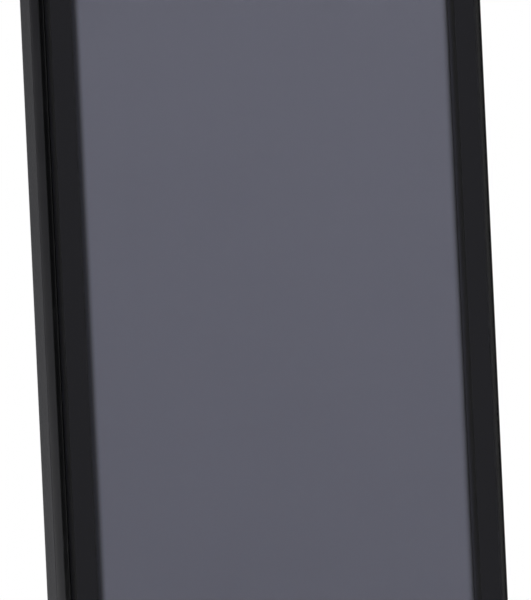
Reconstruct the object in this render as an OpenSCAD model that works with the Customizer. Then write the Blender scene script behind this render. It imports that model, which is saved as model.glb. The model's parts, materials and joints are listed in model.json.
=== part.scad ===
// A 4.7-inch slab smartphone, standing upright.
// +Z runs up its length, the screen faces -Y, and +X is its right-hand side
// seen from the front. The origin is the middle of its bottom edge.
// Depths are measured backwards from the outer face of the cover glass.

/* [Body] */
// Width across the side walls
body_w = 70; // [69.5:0.1:71]
// Height from the bottom edge to the top edge
body_h = 137; // [137:0.5:141]
// Thickness from the cover glass to the rear cover
body_t = 9.2; // [9.2:0.1:9.6]
// Corner radius seen from the front
corner_r = 9; // [8.8:0.1:9.4]
// Radius that rolls the side wall into the back
rear_edge_r = 2; // [1.8:0.1:2.2]
// Radius on the front edge of the bezel ring
front_edge_r = 0.45; // [0.3:0.05:0.5]

/* [Front] */
// Width of the picture area
picture_w = 58.4; // [58:0.1:58.8]
// Height of the picture area
picture_h = 104; // [103:0.5:104.5]
// Height of the middle of the picture above the bottom edge
picture_z = 69; // [68.8:0.1:69.2]
// Width of the bezel ring beside the cover glass
rim_w = 0.9; // [0.85:0.05:0.95]
// Thickness of the cover glass
glass_t = 0.6; // [0.5:0.05:0.6]

/* [Side] */
// Depth of the seam between the bezel ring and the side band
ring_seam = 1.0; // [0.95:0.05:1.05]
// Depth of the seam between the side band and the rear cover
cover_seam = 3.5; // [3.5:0.01:3.52]
// Height of the middle of the power key
power_z = 101; // [100:0.5:102]
// Height of the middle of the volume rocker
volume_z = 82; // [80:0.5:84]
// Distance that the keys stand proud of the side wall
key_proud = 0.5; // [0.3:0.05:0.6]
// Inward travel of a key
key_travel = 0.3; // [0.2:0.05:0.3]

/* [Sockets] */
// Bore radius of the 3.5 mm headphone socket
jack_bore_r = 1.8; // [1.78:0.01:1.82]
// Depth of the headphone socket's bore below its mouth
jack_bore_l = 14; // [13.5:0.1:14.5]
// Inner width of the micro-USB socket
usb_w = 7.0; // [6.9:0.05:7.1]
// Inner thickness of the micro-USB socket
usb_t = 1.9; // [1.85:0.05:1.95]

/* [Battery] */
// Width of the battery pack
battery_w = 56; // [52:0.5:56]
// Height of the battery pack
battery_h = 63; // [58:0.5:63]
// Thickness of the battery pack
battery_t = 4.2; // [3.8:0.1:4.2]

/* [Hidden] */
$fn = 64;
clear = 0.05;
half_w = body_w / 2;
side_wall = 1.2;
back_wall = 0.7;
back_in = body_t - back_wall;
band_wall = 1.4;
plate_depth = 3.2;
plate_t = 0.6;
plate_back = plate_depth + plate_t;

// Front stack
mask_depth = glass_t;
mask_t = 0.1;
sensor_depth = mask_depth + mask_t;
sensor_t = 0.2;
panel_depth = sensor_depth + sensor_t;
panel_t = 1.1;
light_depth = panel_depth + panel_t;
light_t = 0.9;
tray_depth = light_depth + light_t;
tray_t = 0.2;
panel_side = 1.6;
panel_foot = 4.0;
panel_w = picture_w + 2 * panel_side;
panel_h = picture_h + panel_side + panel_foot;
panel_z = picture_z - (panel_foot - panel_side) / 2;
ledge_inset = 2.2;
ledge_depth = 0.85;
ledge_back = 1.4;
glass_inset = rim_w;
brow_z = body_h - 7.2;
ear_w = 12;
ear_h = 1.4;
selfie_x = 17;
prox_x = -16.5;
led_x = 25;

// Boards
board_depth = 4.9;
board_t = 0.8;
board_back = board_depth + board_t;
board_low = 91.5;
board_top = body_h - 3.5;
boss_r = 1.5;
screw_r = 0.55;
screw_head_r = 1.25;
main_screws = [[-30, 94.5], [27, 94.5], [-30.2, 118], [9, 128], [-13, 130], [11, 113.5]];
sub_screws = [[-5.5, 17.5], [9.5, 17.5]];
lens_x = 0;
lens_z = 119;
lens_hole = 10.6;
flash_z = lens_z - 10;

// Side keys
wall_in = half_w - side_wall;
key_depth = 5.5;
key_t = 2.0;
power_l = 10;
volume_l = 20;
flange_x = 33.1;
flange_t = 0.6;
flange_lip = 0.6;
flange_side = 0.3;
cap_round = 0.95;
slot_gap = 0.14;
rocker_x = 32.85;
rocker_t = 0.5;
switch_x = 30.35;
switch_face = 32.3;
switch_floor = switch_x + 0.5;
stem_r = 0.6;
stem_gap = 0.5;
stem_tip = switch_floor + stem_gap + key_travel;
rocker_pad = 6;
pin_x = 32.6;
pin_r = 0.4;
bracket_x = 29.9;

// Card tray
door_t = 1.15;
tray_z = 119;
tray_w = 13.6;
tray_low = 5.95;
tray_thick = 1.1;
tray_floor = 0.25;
tray_start = half_w - door_t - 18.2;
card_start = tray_start + 1.4;
card_w = 12;
card_l = 15;
card_t = 0.76;
door_lip = 0.1;
door_end = 0.2;
door_round = 0.6;
door_gap = 0.1;
eject_r = 0.4;
eject_z = 5.2;

// Sockets
jack_x = -22;
jack_depth = 6.0;
jack_nose_r = 2.2;
jack_top = body_h - 0.3;
usb_depth = 5.5;
usb_wall = 0.25;

// Sounder and motor
spk_x = -20.5;
spk_z = 11.5;
spk_w = 21;
spk_h = 15;
motor_z = 10;
motor_depth = 6.1;
motor_r = 2.0;
spk_pitch = 1.5;
spk_hole_r = 0.45;
mic_port_r = 0.5;
call_mic_x = 9;
noise_mic_x = -8;
foil_t = 0.08;

// Battery bay
battery_low = 25;
battery_mid = battery_low + battery_h / 2;
graphite_w = 54;
graphite_h = 60;
graphite_t = 0.07;
tape_x = 16;
tape_w = 12;
ribbon_x = 2;
ribbon_w = 8;

// Chips
chip_z = 104;
radio_z = 103;
can_gap = 0.02;

// ---- Shared shapes ----

// World Y of a depth behind the cover glass.
function y_at(depth) = depth - body_t / 2;

// An outline drawn as (across, up), made a plate from one depth backwards.
module plate_at(depth, thick) {
    translate([0, y_at(depth) + thick, 0])
        rotate([90, 0, 0])
            linear_extrude(thick)
                children();
}

// A box centred at (x, z), from one depth to another.
module block(x, z, w, h, depth, thick) {
    translate([x - w / 2, y_at(depth), z - h / 2])
        cube([w, thick, h]);
}

// A round rod along the depth, centred at (x, z).
module rod(x, z, r, depth, thick) {
    translate([x, y_at(depth), z])
        rotate([-90, 0, 0])
            cylinder(r = r, h = thick);
}

// A rectangle with round corners, centred.
module rounded(w, h, r) {
    square([w - 2 * r, h], center = true);
    square([w, h - 2 * r], center = true);
    for (sx = [-1, 1], sz = [-1, 1])
        translate([sx * (w / 2 - r), sz * (h / 2 - r)])
            circle(r);
}

// A round-cornered rectangle centred at a point of the front view.
module rounded_at(x, z, w, h, r) {
    translate([x, z])
        rounded(w, h, r);
}

// The outline of the body, moved inwards by an inset.
module body_outline(inset) {
    rounded_at(0, body_h / 2, body_w - 2 * inset, body_h - 2 * inset, corner_r - inset);
}

// A wall section carried round the body. The section is drawn as
// (distance out from the corner's centre, world Y).
module carried_round() {
    for (sx = [0, 1])
        mirror([sx, 0, 0]) {
            translate([half_w - corner_r, 0, corner_r])
                linear_extrude(body_h - 2 * corner_r)
                    children();
            translate([half_w - corner_r, 0, body_h - corner_r])
                rotate([-90, -90, 0])
                    rotate_extrude(angle = 90)
                        children();
            translate([half_w - corner_r, 0, corner_r])
                rotate([-90, 0, 0])
                    rotate_extrude(angle = 90)
                        children();
        }
    for (sz = [0, 1])
        translate([0, 0, body_h / 2])
            mirror([0, 0, sz])
                translate([half_w - corner_r, 0, body_h / 2 - corner_r])
                    rotate([0, -90, 0])
                        linear_extrude(body_w - 2 * corner_r)
                            children();
}

// A key cap with a flange behind the wall, centred at a height.
module key_cap(z, length, behind, thick) {
    side_plate(behind + thick - clear, half_w + key_proud, key_depth, z)
        rounded(key_t, length, cap_round);
    block_x(behind, behind + thick, z, length + 2 * flange_lip, key_t + 2 * flange_side);
}

// An outline drawn as (depth, up), made a plate from one x to another.
module side_plate(x0, x1, depth, z) {
    translate([x0, y_at(depth), z])
        rotate([90, 0, 90])
            linear_extrude(x1 - x0)
                children();
}

// A box from one x to another, centred on the keys' depth.
module block_x(x0, x1, z, h, thick) {
    translate([x0, y_at(key_depth) - thick / 2, z - h / 2])
        cube([x1 - x0, thick, h]);
}

// A round stem along X, centred on the keys' depth.
module stem(x0, x1, z, r) {
    translate([x0, y_at(key_depth), z])
        rotate([0, 90, 0])
            cylinder(r = r, h = x1 - x0);
}

// A pressed can, open towards the board it covers.
module can(x, z, w, h, depth, thick, wall, open_front) {
    difference() {
        block(x, z, w, h, depth, thick);
        block(x, z, w - 2 * wall, h - 2 * wall, depth + (open_front ? -wall : wall), thick);
    }
}

// ---- Front stack ----

// Toughened glass over the whole front, with the earpiece slot.
module cover_glass() {
    color("#20242a")
        plate_at(0, glass_t)
            difference() {
                body_outline(glass_inset);
                rounded_at(0, brow_z, ear_w, ear_h, ear_h / 2 - 0.01);
            }
}

// Black mask film behind the glass, open at the picture and the sensors.
module mask_border() {
    color("#0c0c0e")
        plate_at(mask_depth, mask_t)
            difference() {
                body_outline(glass_inset + 0.3);
                translate([0, picture_z])
                    square([picture_w + 0.2, picture_h + 0.2], center = true);
                rounded_at(0, brow_z, ear_w + 0.2, ear_h + 0.2, ear_h / 2);
                translate([selfie_x, brow_z])
                    circle(1.7);
                for (dx = [-1, 1])
                    translate([prox_x + dx * 1.3, brow_z])
                        circle(0.75);
                translate([led_x, brow_z])
                    circle(0.6);
            }
}

// Touch sensor film, raised to meet the glass inside the mask's window.
module touch_sensor() {
    color("#3a3d48") {
        block(0, picture_z, picture_w + 5, picture_h + 8, sensor_depth, sensor_t);
        block(0, picture_z, picture_w + 0.1, picture_h + 0.1, mask_depth, mask_t + clear);
    }
}

// Adhesive ring between the mask and the ledge of the bezel ring.
module glass_gasket() {
    color("#18181a")
        plate_at(sensor_depth, ledge_depth - sensor_depth)
            difference() {
                body_outline(glass_inset + 0.45);
                body_outline(ledge_inset + 0.05);
            }
}

// Gloss-black bezel ring: a thin wall round the glass and the ledge it sits on.
module front_ring() {
    ring_front = 0.15;
    wall_out = corner_r;
    wall_inner = corner_r - rim_w + 0.1;
    color("#101012")
        carried_round()
            union() {
                translate([wall_inner, y_at(ring_front) + front_edge_r])
                    square([wall_out - wall_inner, ring_seam - ring_front - front_edge_r]);
                translate([wall_inner, y_at(ring_front)])
                    square([wall_out - wall_inner - front_edge_r, 0.5]);
                translate([wall_out - front_edge_r, y_at(ring_front) + front_edge_r])
                    circle(front_edge_r);
                translate([corner_r - ledge_inset, y_at(ledge_depth)])
                    square([wall_inner - corner_r + ledge_inset, ledge_back - ledge_depth]);
            }
}

// Liquid crystal cell with its polarisers.
module display_panel() {
    color("#5f5f6b")
        block(0, panel_z, panel_w, panel_h, panel_depth, panel_t);
}

// Light guide and diffuser films behind the cell.
module backlight_unit() {
    color("#e8e8e4")
        block(0, panel_z, panel_w, panel_h, light_depth, light_t);
}

// Pressed steel tray that holds the backlight to the cell.
module display_shield() {
    wall = 0.3;
    w = panel_w + 2 * wall + 0.2;
    h = panel_h + 2 * wall + 0.2;
    color("#9a9ca0")
        difference() {
            block(0, panel_z, w, h, panel_depth + 0.3, tray_depth + tray_t - panel_depth - 0.3);
            block(0, panel_z, w - 2 * wall, h - 2 * wall, panel_depth - 1, tray_depth - panel_depth + 1);
        }
}

// Flex tail of the display, folded through the plate to the lower board.
module display_flex() {
    tail_w = 14;
    foil = 0.12;
    low = 8.6;
    foot = panel_z - panel_h / 2 - 0.45;
    color("#b5651d") {
        block(0, (low + foot) / 2, tail_w, foot - low, panel_depth + 0.9, foil);
        block(0, low + foil / 2, tail_w, foil, panel_depth + 0.9, board_depth - panel_depth - 0.9);
        block(0, low + 2, tail_w, 4, board_depth - foil, foil);
    }
}

// Fine steel mesh in the earpiece slot.
module earpiece_mesh() {
    pitch = 0.6;
    color("#2a2a2c")
        plate_at(0.25, 0.2)
            difference() {
                rounded_at(0, brow_z, ear_w - 0.2, ear_h - 0.2, 0.59);
                for (i = [-9 : 9], j = [-0.5, 0.5])
                    translate([i * pitch, brow_z + j * 0.52])
                        circle(0.19, $fn = 24);
            }
}

// Earpiece capsule with its sound port.
module earpiece_receiver() {
    port_r = 0.5;
    color("#55585c")
        difference() {
            block(0, brow_z, ear_w, 5.6, panel_depth, 2.2);
            block(0, brow_z, ear_w - 2.4, 2 * port_r, panel_depth - 0.1, 0.6);
        }
}

// Front camera: a square holder with a round lens nose.
module front_camera() {
    color("#1c1c20") {
        block(selfie_x, brow_z, 6, 6, 1.5, 3.2);
        difference() {
            rod(selfie_x, brow_z, 2.3, 0.75, 0.8);
            rod(selfie_x, brow_z, 1.1, 0.6, 0.5);
        }
    }
}

// Proximity and light sensor with its two lenses.
module proximity_sensor() {
    color("#2b2330") {
        block(prox_x, brow_z, 5, 2.4, 1.3, 1.8);
        for (dx = [-1, 1])
            rod(prox_x + dx * 1.3, brow_z, 0.7, 0.8, 0.6);
    }
}

// Notification light: a clear pipe on a small chip.
module notification_led() {
    color("#e6e6e6") {
        rod(led_x, brow_z, 0.55, 0.75, 1.6);
        block(led_x, brow_z, 1.6, 1.6, 2.3, 0.8);
    }
}

// ---- Structure ----

// Die-cast plate with the side band, the board bosses and the cut-outs.
module mid_frame() {
    boss_h = board_depth - plate_back;
    color("#3b3b3e")
        difference() {
            union() {
                plate_at(ring_seam + clear, ledge_back - ring_seam)
                    difference() {
                        body_outline(0);
                        body_outline(0.75);
                    }
                plate_at(ledge_back + clear, cover_seam - ledge_back - 2 * clear)
                    difference() {
                        body_outline(0);
                        body_outline(band_wall);
                    }
                plate_at(plate_depth, plate_t)
                    body_outline(band_wall - clear);
                for (p = concat(main_screws, sub_screws))
                    rod(p[0], p[1], boss_r, plate_back - clear, boss_h + clear);
            }
            for (p = concat(main_screws, sub_screws))
                rod(p[0], p[1], screw_r + 0.03, plate_back, boss_h + 1);
            block(lens_x, lens_z, 9, 9, plate_depth - 1, 3);
            block(selfie_x, brow_z, 6.4, 6.4, plate_depth - 1, 3);
            block(0, 8.7, 15, 1.2, plate_depth - 1, 3);
        }
}

// Section of the rear cover: side wall rolled into the back.
module cover_section() {
    inner = corner_r - side_wall;
    roll = rear_edge_r - back_wall;
    difference() {
        union() {
            translate([0, y_at(cover_seam)])
                square([corner_r, back_in - cover_seam + back_wall - rear_edge_r]);
            translate([0, y_at(cover_seam)])
                square([corner_r - rear_edge_r, body_t - cover_seam]);
            translate([corner_r - rear_edge_r, y_at(body_t) - rear_edge_r])
                circle(rear_edge_r);
        }
        translate([-1, y_at(cover_seam) - 1])
            square([inner + 1, back_in - cover_seam + 1 - roll]);
        translate([-1, y_at(cover_seam) - 1])
            square([inner + 1 - roll, back_in - cover_seam + 1]);
        translate([inner - roll, y_at(back_in) - roll])
            circle(roll);
    }
}

// Rear cover: a shallow shell with holes for the camera, lamp, sound,
// keys, card tray and sockets.
module rear_cover() {
    slot = 2 * slot_gap;
    door_mid = tray_low + tray_thick / 2;
    color("#2d2d30")
        difference() {
            union() {
                carried_round()
                    cover_section();
                block(0, body_h / 2, body_w - 2 * corner_r, body_h - 2 * corner_r, back_in, back_wall);
            }
            rod(lens_x, lens_z, 4.95, back_in - 1, 3);
            rod(lens_x, flash_z, 1.85, back_in - 1, 3);
            for (i = [-4 : 4], j = [-1 : 1])
                rod(spk_x + i * spk_pitch, spk_z + j * spk_pitch, spk_hole_r, back_in - 1, 3);
            side_plate(wall_in - 1, half_w + 1, key_depth, power_z)
                rounded(key_t + slot, power_l + slot, cap_round + slot_gap);
            side_plate(wall_in - 1, half_w + 1, key_depth, volume_z)
                rounded(key_t + slot, volume_l + slot, cap_round + slot_gap);
            side_plate(wall_in - 1, half_w + 1, door_mid, tray_z)
                door_outline(door_gap);
            translate([jack_x, y_at(jack_depth), body_h - 3])
                cylinder(r = jack_nose_r + clear, h = 4);
            translate([call_mic_x, y_at(key_depth), -1])
                cylinder(r = mic_port_r, h = 4);
            translate([noise_mic_x, y_at(key_depth), body_h - 3])
                cylinder(r = mic_port_r, h = 4);
            translate([0, y_at(usb_depth), -1])
                linear_extrude(4)
                    rounded(usb_w + 2 * usb_wall + 0.2, usb_t + 2 * usb_wall + 0.2, 0.8);
        }
}

// Graphite heat spreader on the back of the plate.
module graphite_sheet() {
    color("#26272b")
        block(0, battery_mid, graphite_w, graphite_h, plate_back, graphite_t);
}

// Pan-head screws through the boards into the bosses.
module frame_screws() {
    color("#b8b8ba")
        for (p = concat(main_screws, sub_screws)) {
            rod(p[0], p[1], screw_r, plate_back + 0.15, board_back - plate_back - 0.1);
            difference() {
                rod(p[0], p[1], screw_head_r, board_back, 0.5);
                block(p[0], p[1], 1.3, 0.3, board_back + 0.25, 0.5);
                block(p[0], p[1], 0.3, 1.3, board_back + 0.25, 0.5);
            }
        }
}

// ---- Boards and chips ----

// Upper board, cut out round the camera, the headphone socket and the keys.
module main_board() {
    color("#1d4a33")
        plate_at(board_depth, board_t)
            difference() {
                polygon([
                    [-32.6, board_low], [bracket_x - 0.4, board_low],
                    [bracket_x - 0.4, 109.5], [33, 109.5], [33, 127.5],
                    [26, board_top], [-26.5, board_top], [-32.6, 127.5]
                ]);
                translate([lens_x, lens_z])
                    square([lens_hole, lens_hole], center = true);
                translate([jack_x, 128.5])
                    square([7, 14], center = true);
                for (p = main_screws)
                    translate(p)
                        circle(screw_r + 0.15);
            }
}

// Processor with its stacked memory.
module processor() {
    color("#222326")
        block(-14, chip_z, 14, 13, board_depth - 0.9, 0.9);
}

// Storage chip.
module memory_chip() {
    color("#222326")
        block(4, chip_z, 11.5, 13, board_depth - 0.8, 0.8);
}

// Power management chip.
module power_chip() {
    color("#222326")
        block(19, chip_z, 6.5, 6.5, board_depth - 0.8, 0.8);
}

// Radio transceiver chip.
module radio_chip() {
    color("#222326")
        block(-17, radio_z, 7, 7, board_back, 0.9);
}

// Pressed can over the processor and the storage chip.
module processor_shield() {
    color("#b4b6ba")
        can(-5, chip_z, 36, 15, plate_back + can_gap, board_depth - plate_back - can_gap, 0.12, false);
}

// Pressed can over the radio chip.
module radio_shield() {
    color("#b4b6ba")
        can(-16.5, radio_z, 20, 13, board_back, 1.5, 0.15, true);
}

// Lower board with the charging socket and the microphone.
module sub_board() {
    color("#1d4a33")
        plate_at(board_depth, board_t)
            difference() {
                translate([-9, 2.6])
                    square([21.5, 18]);
                translate([-4, 2])
                    square([8, 5]);
                for (p = sub_screws)
                    translate(p)
                        circle(screw_r + 0.15);
            }
}

// Ribbon over the battery that joins the two boards.
module board_flex() {
    foil = 0.12;
    run_low = 19.4;
    run_top = board_low + 1.2;
    over = back_in - 0.25;
    color("#b5651d") {
        block(ribbon_x, (run_low + run_top) / 2, ribbon_w, run_top - run_low, over, foil);
        block(ribbon_x, run_low - 1, ribbon_w, 3, board_back, foil);
        block(ribbon_x, run_top + 1, ribbon_w, 3, board_back, foil);
        for (z = [run_low, run_top])
            block(ribbon_x, z, ribbon_w, foil, board_back, over + foil - board_back);
    }
}

// ---- Sockets and sound ----

// Steel shell of the micro-USB socket.
module usb_connector() {
    shell_l = 5.2;
    color("#c4c6c9")
        translate([0, y_at(usb_depth), 0.5])
            linear_extrude(shell_l)
                difference() {
                    rounded(usb_w + 2 * usb_wall, usb_t + 2 * usb_wall, 0.7);
                    rounded(usb_w, usb_t, 0.45);
                }
}

// Contact tongue and back block inside the socket.
module usb_tongue() {
    color("#161618") {
        block(0, 2.9, 3.7, 3.2, usb_depth - 0.15, 0.5);
        translate([0, y_at(usb_depth), 4.4])
            linear_extrude(1.2)
                rounded(usb_w - 0.1, usb_t - 0.1, 0.4);
    }
}

// Call microphone beside the charging socket.
module bottom_microphone() {
    color("#c9b26a")
        block(call_mic_x, 4.2, 3.6, 2.6, board_back, 1.0);
}

// Noise microphone at the top edge.
module top_microphone() {
    color("#c9b26a")
        block(noise_mic_x, board_top - 1.4, 3.6, 2.6, board_back, 1.0);
}

// Loudspeaker box with its recessed cone.
module loudspeaker() {
    color("#35373b")
        difference() {
            plate_at(plate_back + clear, 4.0)
                rounded_at(spk_x, spk_z, spk_w, spk_h, 1.5);
            rod(spk_x, spk_z, 5.4, plate_back + clear + 3.4, 2);
            translate([spk_x, y_at(plate_back) + 10.6, spk_z])
                sphere(r = 7.6);
        }
}

// Foam ring between the loudspeaker and the rear cover.
module speaker_gasket() {
    color("#1b1b1d")
        plate_at(plate_back + clear + 4.0, back_in - plate_back - clear - 4.1)
            difference() {
                rounded_at(spk_x, spk_z, 17, 13, 1.5);
                rounded_at(spk_x, spk_z, 13.6, 7.4, 1.2);
            }
}

// Dust mesh behind the sound holes.
module speaker_mesh() {
    color("#3c3c3e")
        plate_at(back_in - 0.1, 0.1)
            rounded_at(spk_x, spk_z, 15, 6.4, 1);
}

// Flat radiator foil under the rear cover at the bottom.
module main_antenna() {
    color("#b87333")
        plate_at(back_in - foil_t, foil_t)
            difference() {
                translate([13, 4.2])
                    square([16.4, 11.2]);
                translate([14.6, 5.6])
                    square([17, 3.2]);
                translate([12, 10.2])
                    square([16, 3.4]);
            }
}

// Foil aerial for the wireless network at the top.
module wifi_antenna() {
    color("#b87333")
        plate_at(back_in - foil_t, foil_t)
            difference() {
                translate([10, 128.4])
                    square([15, 5]);
                translate([11.4, 127])
                    square([12.2, 5]);
            }
}

// Can of the vibration motor, lying across the phone, bored for its shaft.
module vibration_motor() {
    color("#bfc1c4")
        difference() {
            translate([14.5, y_at(motor_depth), motor_z])
                rotate([0, 90, 0])
                    cylinder(r = motor_r, h = 8.6);
            translate([17, y_at(motor_depth), motor_z])
                rotate([0, 90, 0])
                    cylinder(r = 0.5, h = 8);
        }
}

// Shaft of the vibration motor.
module motor_shaft() {
    color("#d8d9db")
        translate([17.3, y_at(motor_depth), motor_z])
            rotate([0, 90, 0])
                cylinder(r = 0.4, h = 10.2);
}

// Half-round tungsten weight on the shaft.
module motor_weight() {
    color("#8c8d90")
        translate([23.6, y_at(motor_depth), motor_z])
            rotate([0, 90, 0])
                linear_extrude(3.8)
                    difference() {
                        circle(motor_r - 0.1);
                        translate([-5, 0.7])
                            square([10, 5]);
                        circle(0.4);
                    }
}

// Headphone socket: a block with a round nose, bored for a 3.5 mm plug.
module headphone_jack() {
    block_top = body_h - side_wall - 0.9;
    block_low = jack_top - jack_bore_l - 0.6;
    color("#151517")
        difference() {
            union() {
                translate([jack_x - 3.2, y_at(plate_back + clear), block_low])
                    cube([6.4, 4.35, block_top - block_low]);
                translate([jack_x, y_at(jack_depth), block_top - 0.1])
                    cylinder(r = jack_nose_r, h = jack_top - block_top + 0.1);
            }
            translate([jack_x, y_at(jack_depth), jack_top - jack_bore_l])
                cylinder(r = jack_bore_r, h = jack_bore_l + 1);
        }
}

// Sprung contacts that lead from the socket's side to the board.
module jack_contacts() {
    color("#d4b04c")
        for (z = [124.5, 128, 131.5])
            block(jack_x + 3.2 + 0.35, z, 0.7, 1.0, board_back, 0.2);
}

// ---- Card tray ----

// Steel cage soldered to the board, open towards the side wall.
module sim_reader() {
    wall = 0.15;
    cage_l = 19.3;
    cage_w = tray_w + 0.4 + 2 * wall;
    cage_t = tray_low + tray_thick + 0.1 + wall - board_back;
    color("#aeb0b4")
        translate([wall_in - 0.5 - cage_l, y_at(board_back), tray_z - cage_w / 2])
            difference() {
                cube([cage_l, cage_t, cage_w]);
                translate([wall, wall, wall])
                    cube([cage_l, cage_t - 2 * wall, cage_w - 2 * wall]);
            }
}

// The outline of the tray's door, grown by a gap.
module door_outline(gap) {
    rounded(tray_thick + 2 * (door_lip + gap), tray_w + 2 * (door_end + gap), door_round + gap);
}

// Tray that carries the card, with a door flush with the side wall and a
// pinhole that takes the ejecting pin.
module sim_tray() {
    color("#3a3a3d")
        difference() {
            union() {
                translate([tray_start, y_at(tray_low), tray_z - tray_w / 2])
                    cube([18.3, tray_thick, tray_w]);
                side_plate(half_w - door_t, half_w, tray_low + tray_thick / 2, tray_z)
                    door_outline(0);
            }
            side_plate(half_w - door_t, half_w + 1, tray_low + tray_thick / 2, tray_z - eject_z)
                circle(eject_r, $fn = 32);
            translate([card_start, y_at(tray_low) + tray_floor, tray_z - card_w / 2 - clear])
                cube([card_l + 2 * clear, 5, card_w + 2 * clear]);
            translate([card_start + 1.6, y_at(tray_low) - 1, tray_z - card_w / 2 + 1.4])
                cube([card_l - 3, 5, card_w - 2.8]);
        }
}

// Micro-size subscriber card lying in the tray.
module sim_card() {
    color("#e4e2da")
        translate([card_start + clear, y_at(tray_low) + tray_floor, tray_z - card_w / 2])
            cube([card_l, card_t, card_w]);
}

// ---- Battery ----

// Lithium pouch with rounded sides.
module battery() {
    color("#1e1f22")
        translate([0, y_at(plate_back + 2 * graphite_t) + battery_t / 2, battery_low])
            linear_extrude(battery_h)
                rounded(battery_w, battery_t, 1.2);
}

// Protection board along the top of the battery.
module battery_board() {
    color("#2b5e3f")
        block(-8, battery_low + battery_h + 1.2, 30, 2.4, plate_back + 1.0, 2.2);
}

// Pull-tab adhesive strips under the battery.
module battery_tape() {
    color("#d9d6cc")
        for (sx = [-1, 1])
            block(sx * tape_x, battery_mid, tape_w, battery_h - 5, plate_back + graphite_t, graphite_t);
}

// ---- Rear camera and flash ----

// Image sensor on its small board.
module camera_base() {
    color("#24303a")
        block(lens_x, lens_z, 8.6, 8.6, 3.4, 1.2);
}

// Focus actuator with its round bore.
module rear_camera() {
    color("#303136")
        difference() {
            block(lens_x, lens_z, 8.6, 8.6, 4.6, 3.5);
            rod(lens_x, lens_z, 3.3, 4.5, 4);
        }
}

// Lens barrel that the actuator moves, with a dished front.
module lens_barrel() {
    color("#0e0e10")
        difference() {
            rod(lens_x, lens_z, 3.15, 4.95, 2.95);
            rod(lens_x, lens_z, 1.6, 7.3, 2);
            translate([lens_x, y_at(10.6), lens_z])
                sphere(r = 3.5);
        }
}

// Clear window over the lens.
module camera_window() {
    color("#1a1f2a")
        rod(lens_x, lens_z, 3.9, back_in, 0.5);
}

// Metal ring that frames the window.
module camera_ring() {
    color("#77797d")
        translate([lens_x, y_at(back_in), lens_z])
            rotate([-90, 0, 0])
                rotate_extrude()
                    translate([3.95, 0])
                        polygon([[0, 0], [0.95, 0], [0.95, 0.7], [0.3, 0.7], [0, 0.5]]);
}

// Lamp chip on its stand.
module flash_led() {
    color("#e6d978")
        block(lens_x, flash_z, 2.4, 2.4, board_back, back_in - board_back - 0.2);
}

// Clear lens over the lamp.
module flash_lens() {
    color("#efefe8")
        rod(lens_x, flash_z, 1.8, back_in - 0.15, 0.85);
}

// ---- Side keys ----

// Power key with the stem that presses its switch.
module power_key() {
    color("#58595c") {
        key_cap(power_z, power_l, flange_x, flange_t);
        stem(stem_tip, flange_x + clear, power_z, stem_r);
    }
}

// Volume rocker with two stems and a bored lug for its pin.
module volume_rocker() {
    color("#58595c")
        difference() {
            union() {
                key_cap(volume_z, volume_l, rocker_x, rocker_t);
                for (s = [-1, 1])
                    stem(stem_tip, rocker_x + clear, volume_z + s * rocker_pad, stem_r);
                block_x(pin_x - 0.9, rocker_x + clear, volume_z, 2.2, key_t);
            }
            rod(pin_x, volume_z, pin_r + 0.05, key_depth - 3, 6);
        }
}

// Steel pin that the volume rocker turns on.
module rocker_pin() {
    color("#c8c9cb")
        rod(pin_x, volume_z, pin_r, key_depth - 1.7, 3.4);
}

// Bracket behind the keys, with two arms that hold the pin.
module key_bracket() {
    arm_t = 0.3;
    color("#9c9ea2")
        difference() {
            union() {
                translate([bracket_x, y_at(key_depth) - 1.7, volume_z - 12])
                    cube([0.3, 3.4, power_z - volume_z + 19]);
                for (d = [key_depth - 1.7, key_depth + 1.7 - arm_t])
                    translate([bracket_x, y_at(d), volume_z - 0.8])
                        cube([pin_x + 0.5 - bracket_x, arm_t, 1.6]);
            }
            rod(pin_x, volume_z, pin_r, key_depth - 3, 6);
        }
}

// Flex strip that carries the three key switches.
module key_strip() {
    color("#b5651d")
        translate([bracket_x + 0.3, y_at(key_depth) - 1.2, volume_z - 11])
            cube([0.15, 2.4, power_z - volume_z + 17]);
}

// Three push switches, one for the power key and two for the rocker.
module key_switches() {
    color("#d0d0cc")
        for (z = [power_z, volume_z - rocker_pad, volume_z + rocker_pad])
            difference() {
                block_x(switch_x, switch_face, z, 4, 2.2);
                stem(switch_floor, switch_face + 1, z, stem_r + 0.2);
            }
}

cover_glass();
mask_border();
touch_sensor();
glass_gasket();
front_ring();
display_panel();
backlight_unit();
display_shield();
display_flex();
earpiece_mesh();
earpiece_receiver();
front_camera();
proximity_sensor();
notification_led();
mid_frame();
rear_cover();
graphite_sheet();
frame_screws();
main_board();
processor();
memory_chip();
power_chip();
radio_chip();
processor_shield();
radio_shield();
sub_board();
board_flex();
usb_connector();
usb_tongue();
bottom_microphone();
top_microphone();
loudspeaker();
speaker_gasket();
speaker_mesh();
main_antenna();
wifi_antenna();
vibration_motor();
motor_shaft();
motor_weight();
headphone_jack();
jack_contacts();
sim_reader();
sim_tray();
sim_card();
battery();
battery_board();
battery_tape();
camera_base();
rear_camera();
lens_barrel();
camera_window();
camera_ring();
flash_led();
flash_lens();
power_key();
volume_rocker();
rocker_pin();
key_bracket();
key_strip();
key_switches();
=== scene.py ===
"""A switched-off slab smartphone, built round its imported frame, on a pale table under soft studio light.

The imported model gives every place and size. Shells, glass, keys and optics are made here as fine
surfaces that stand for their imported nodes; the other nodes keep their shape and get a finish.
"""

from __future__ import annotations

import json
import logging
import math

from dataclasses import dataclass, field, replace
from enum import Enum
from typing import Any, Callable, Iterable, Mapping, Sequence, Union

import bmesh
import bpy
import numpy as np
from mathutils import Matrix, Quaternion, Vector


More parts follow.
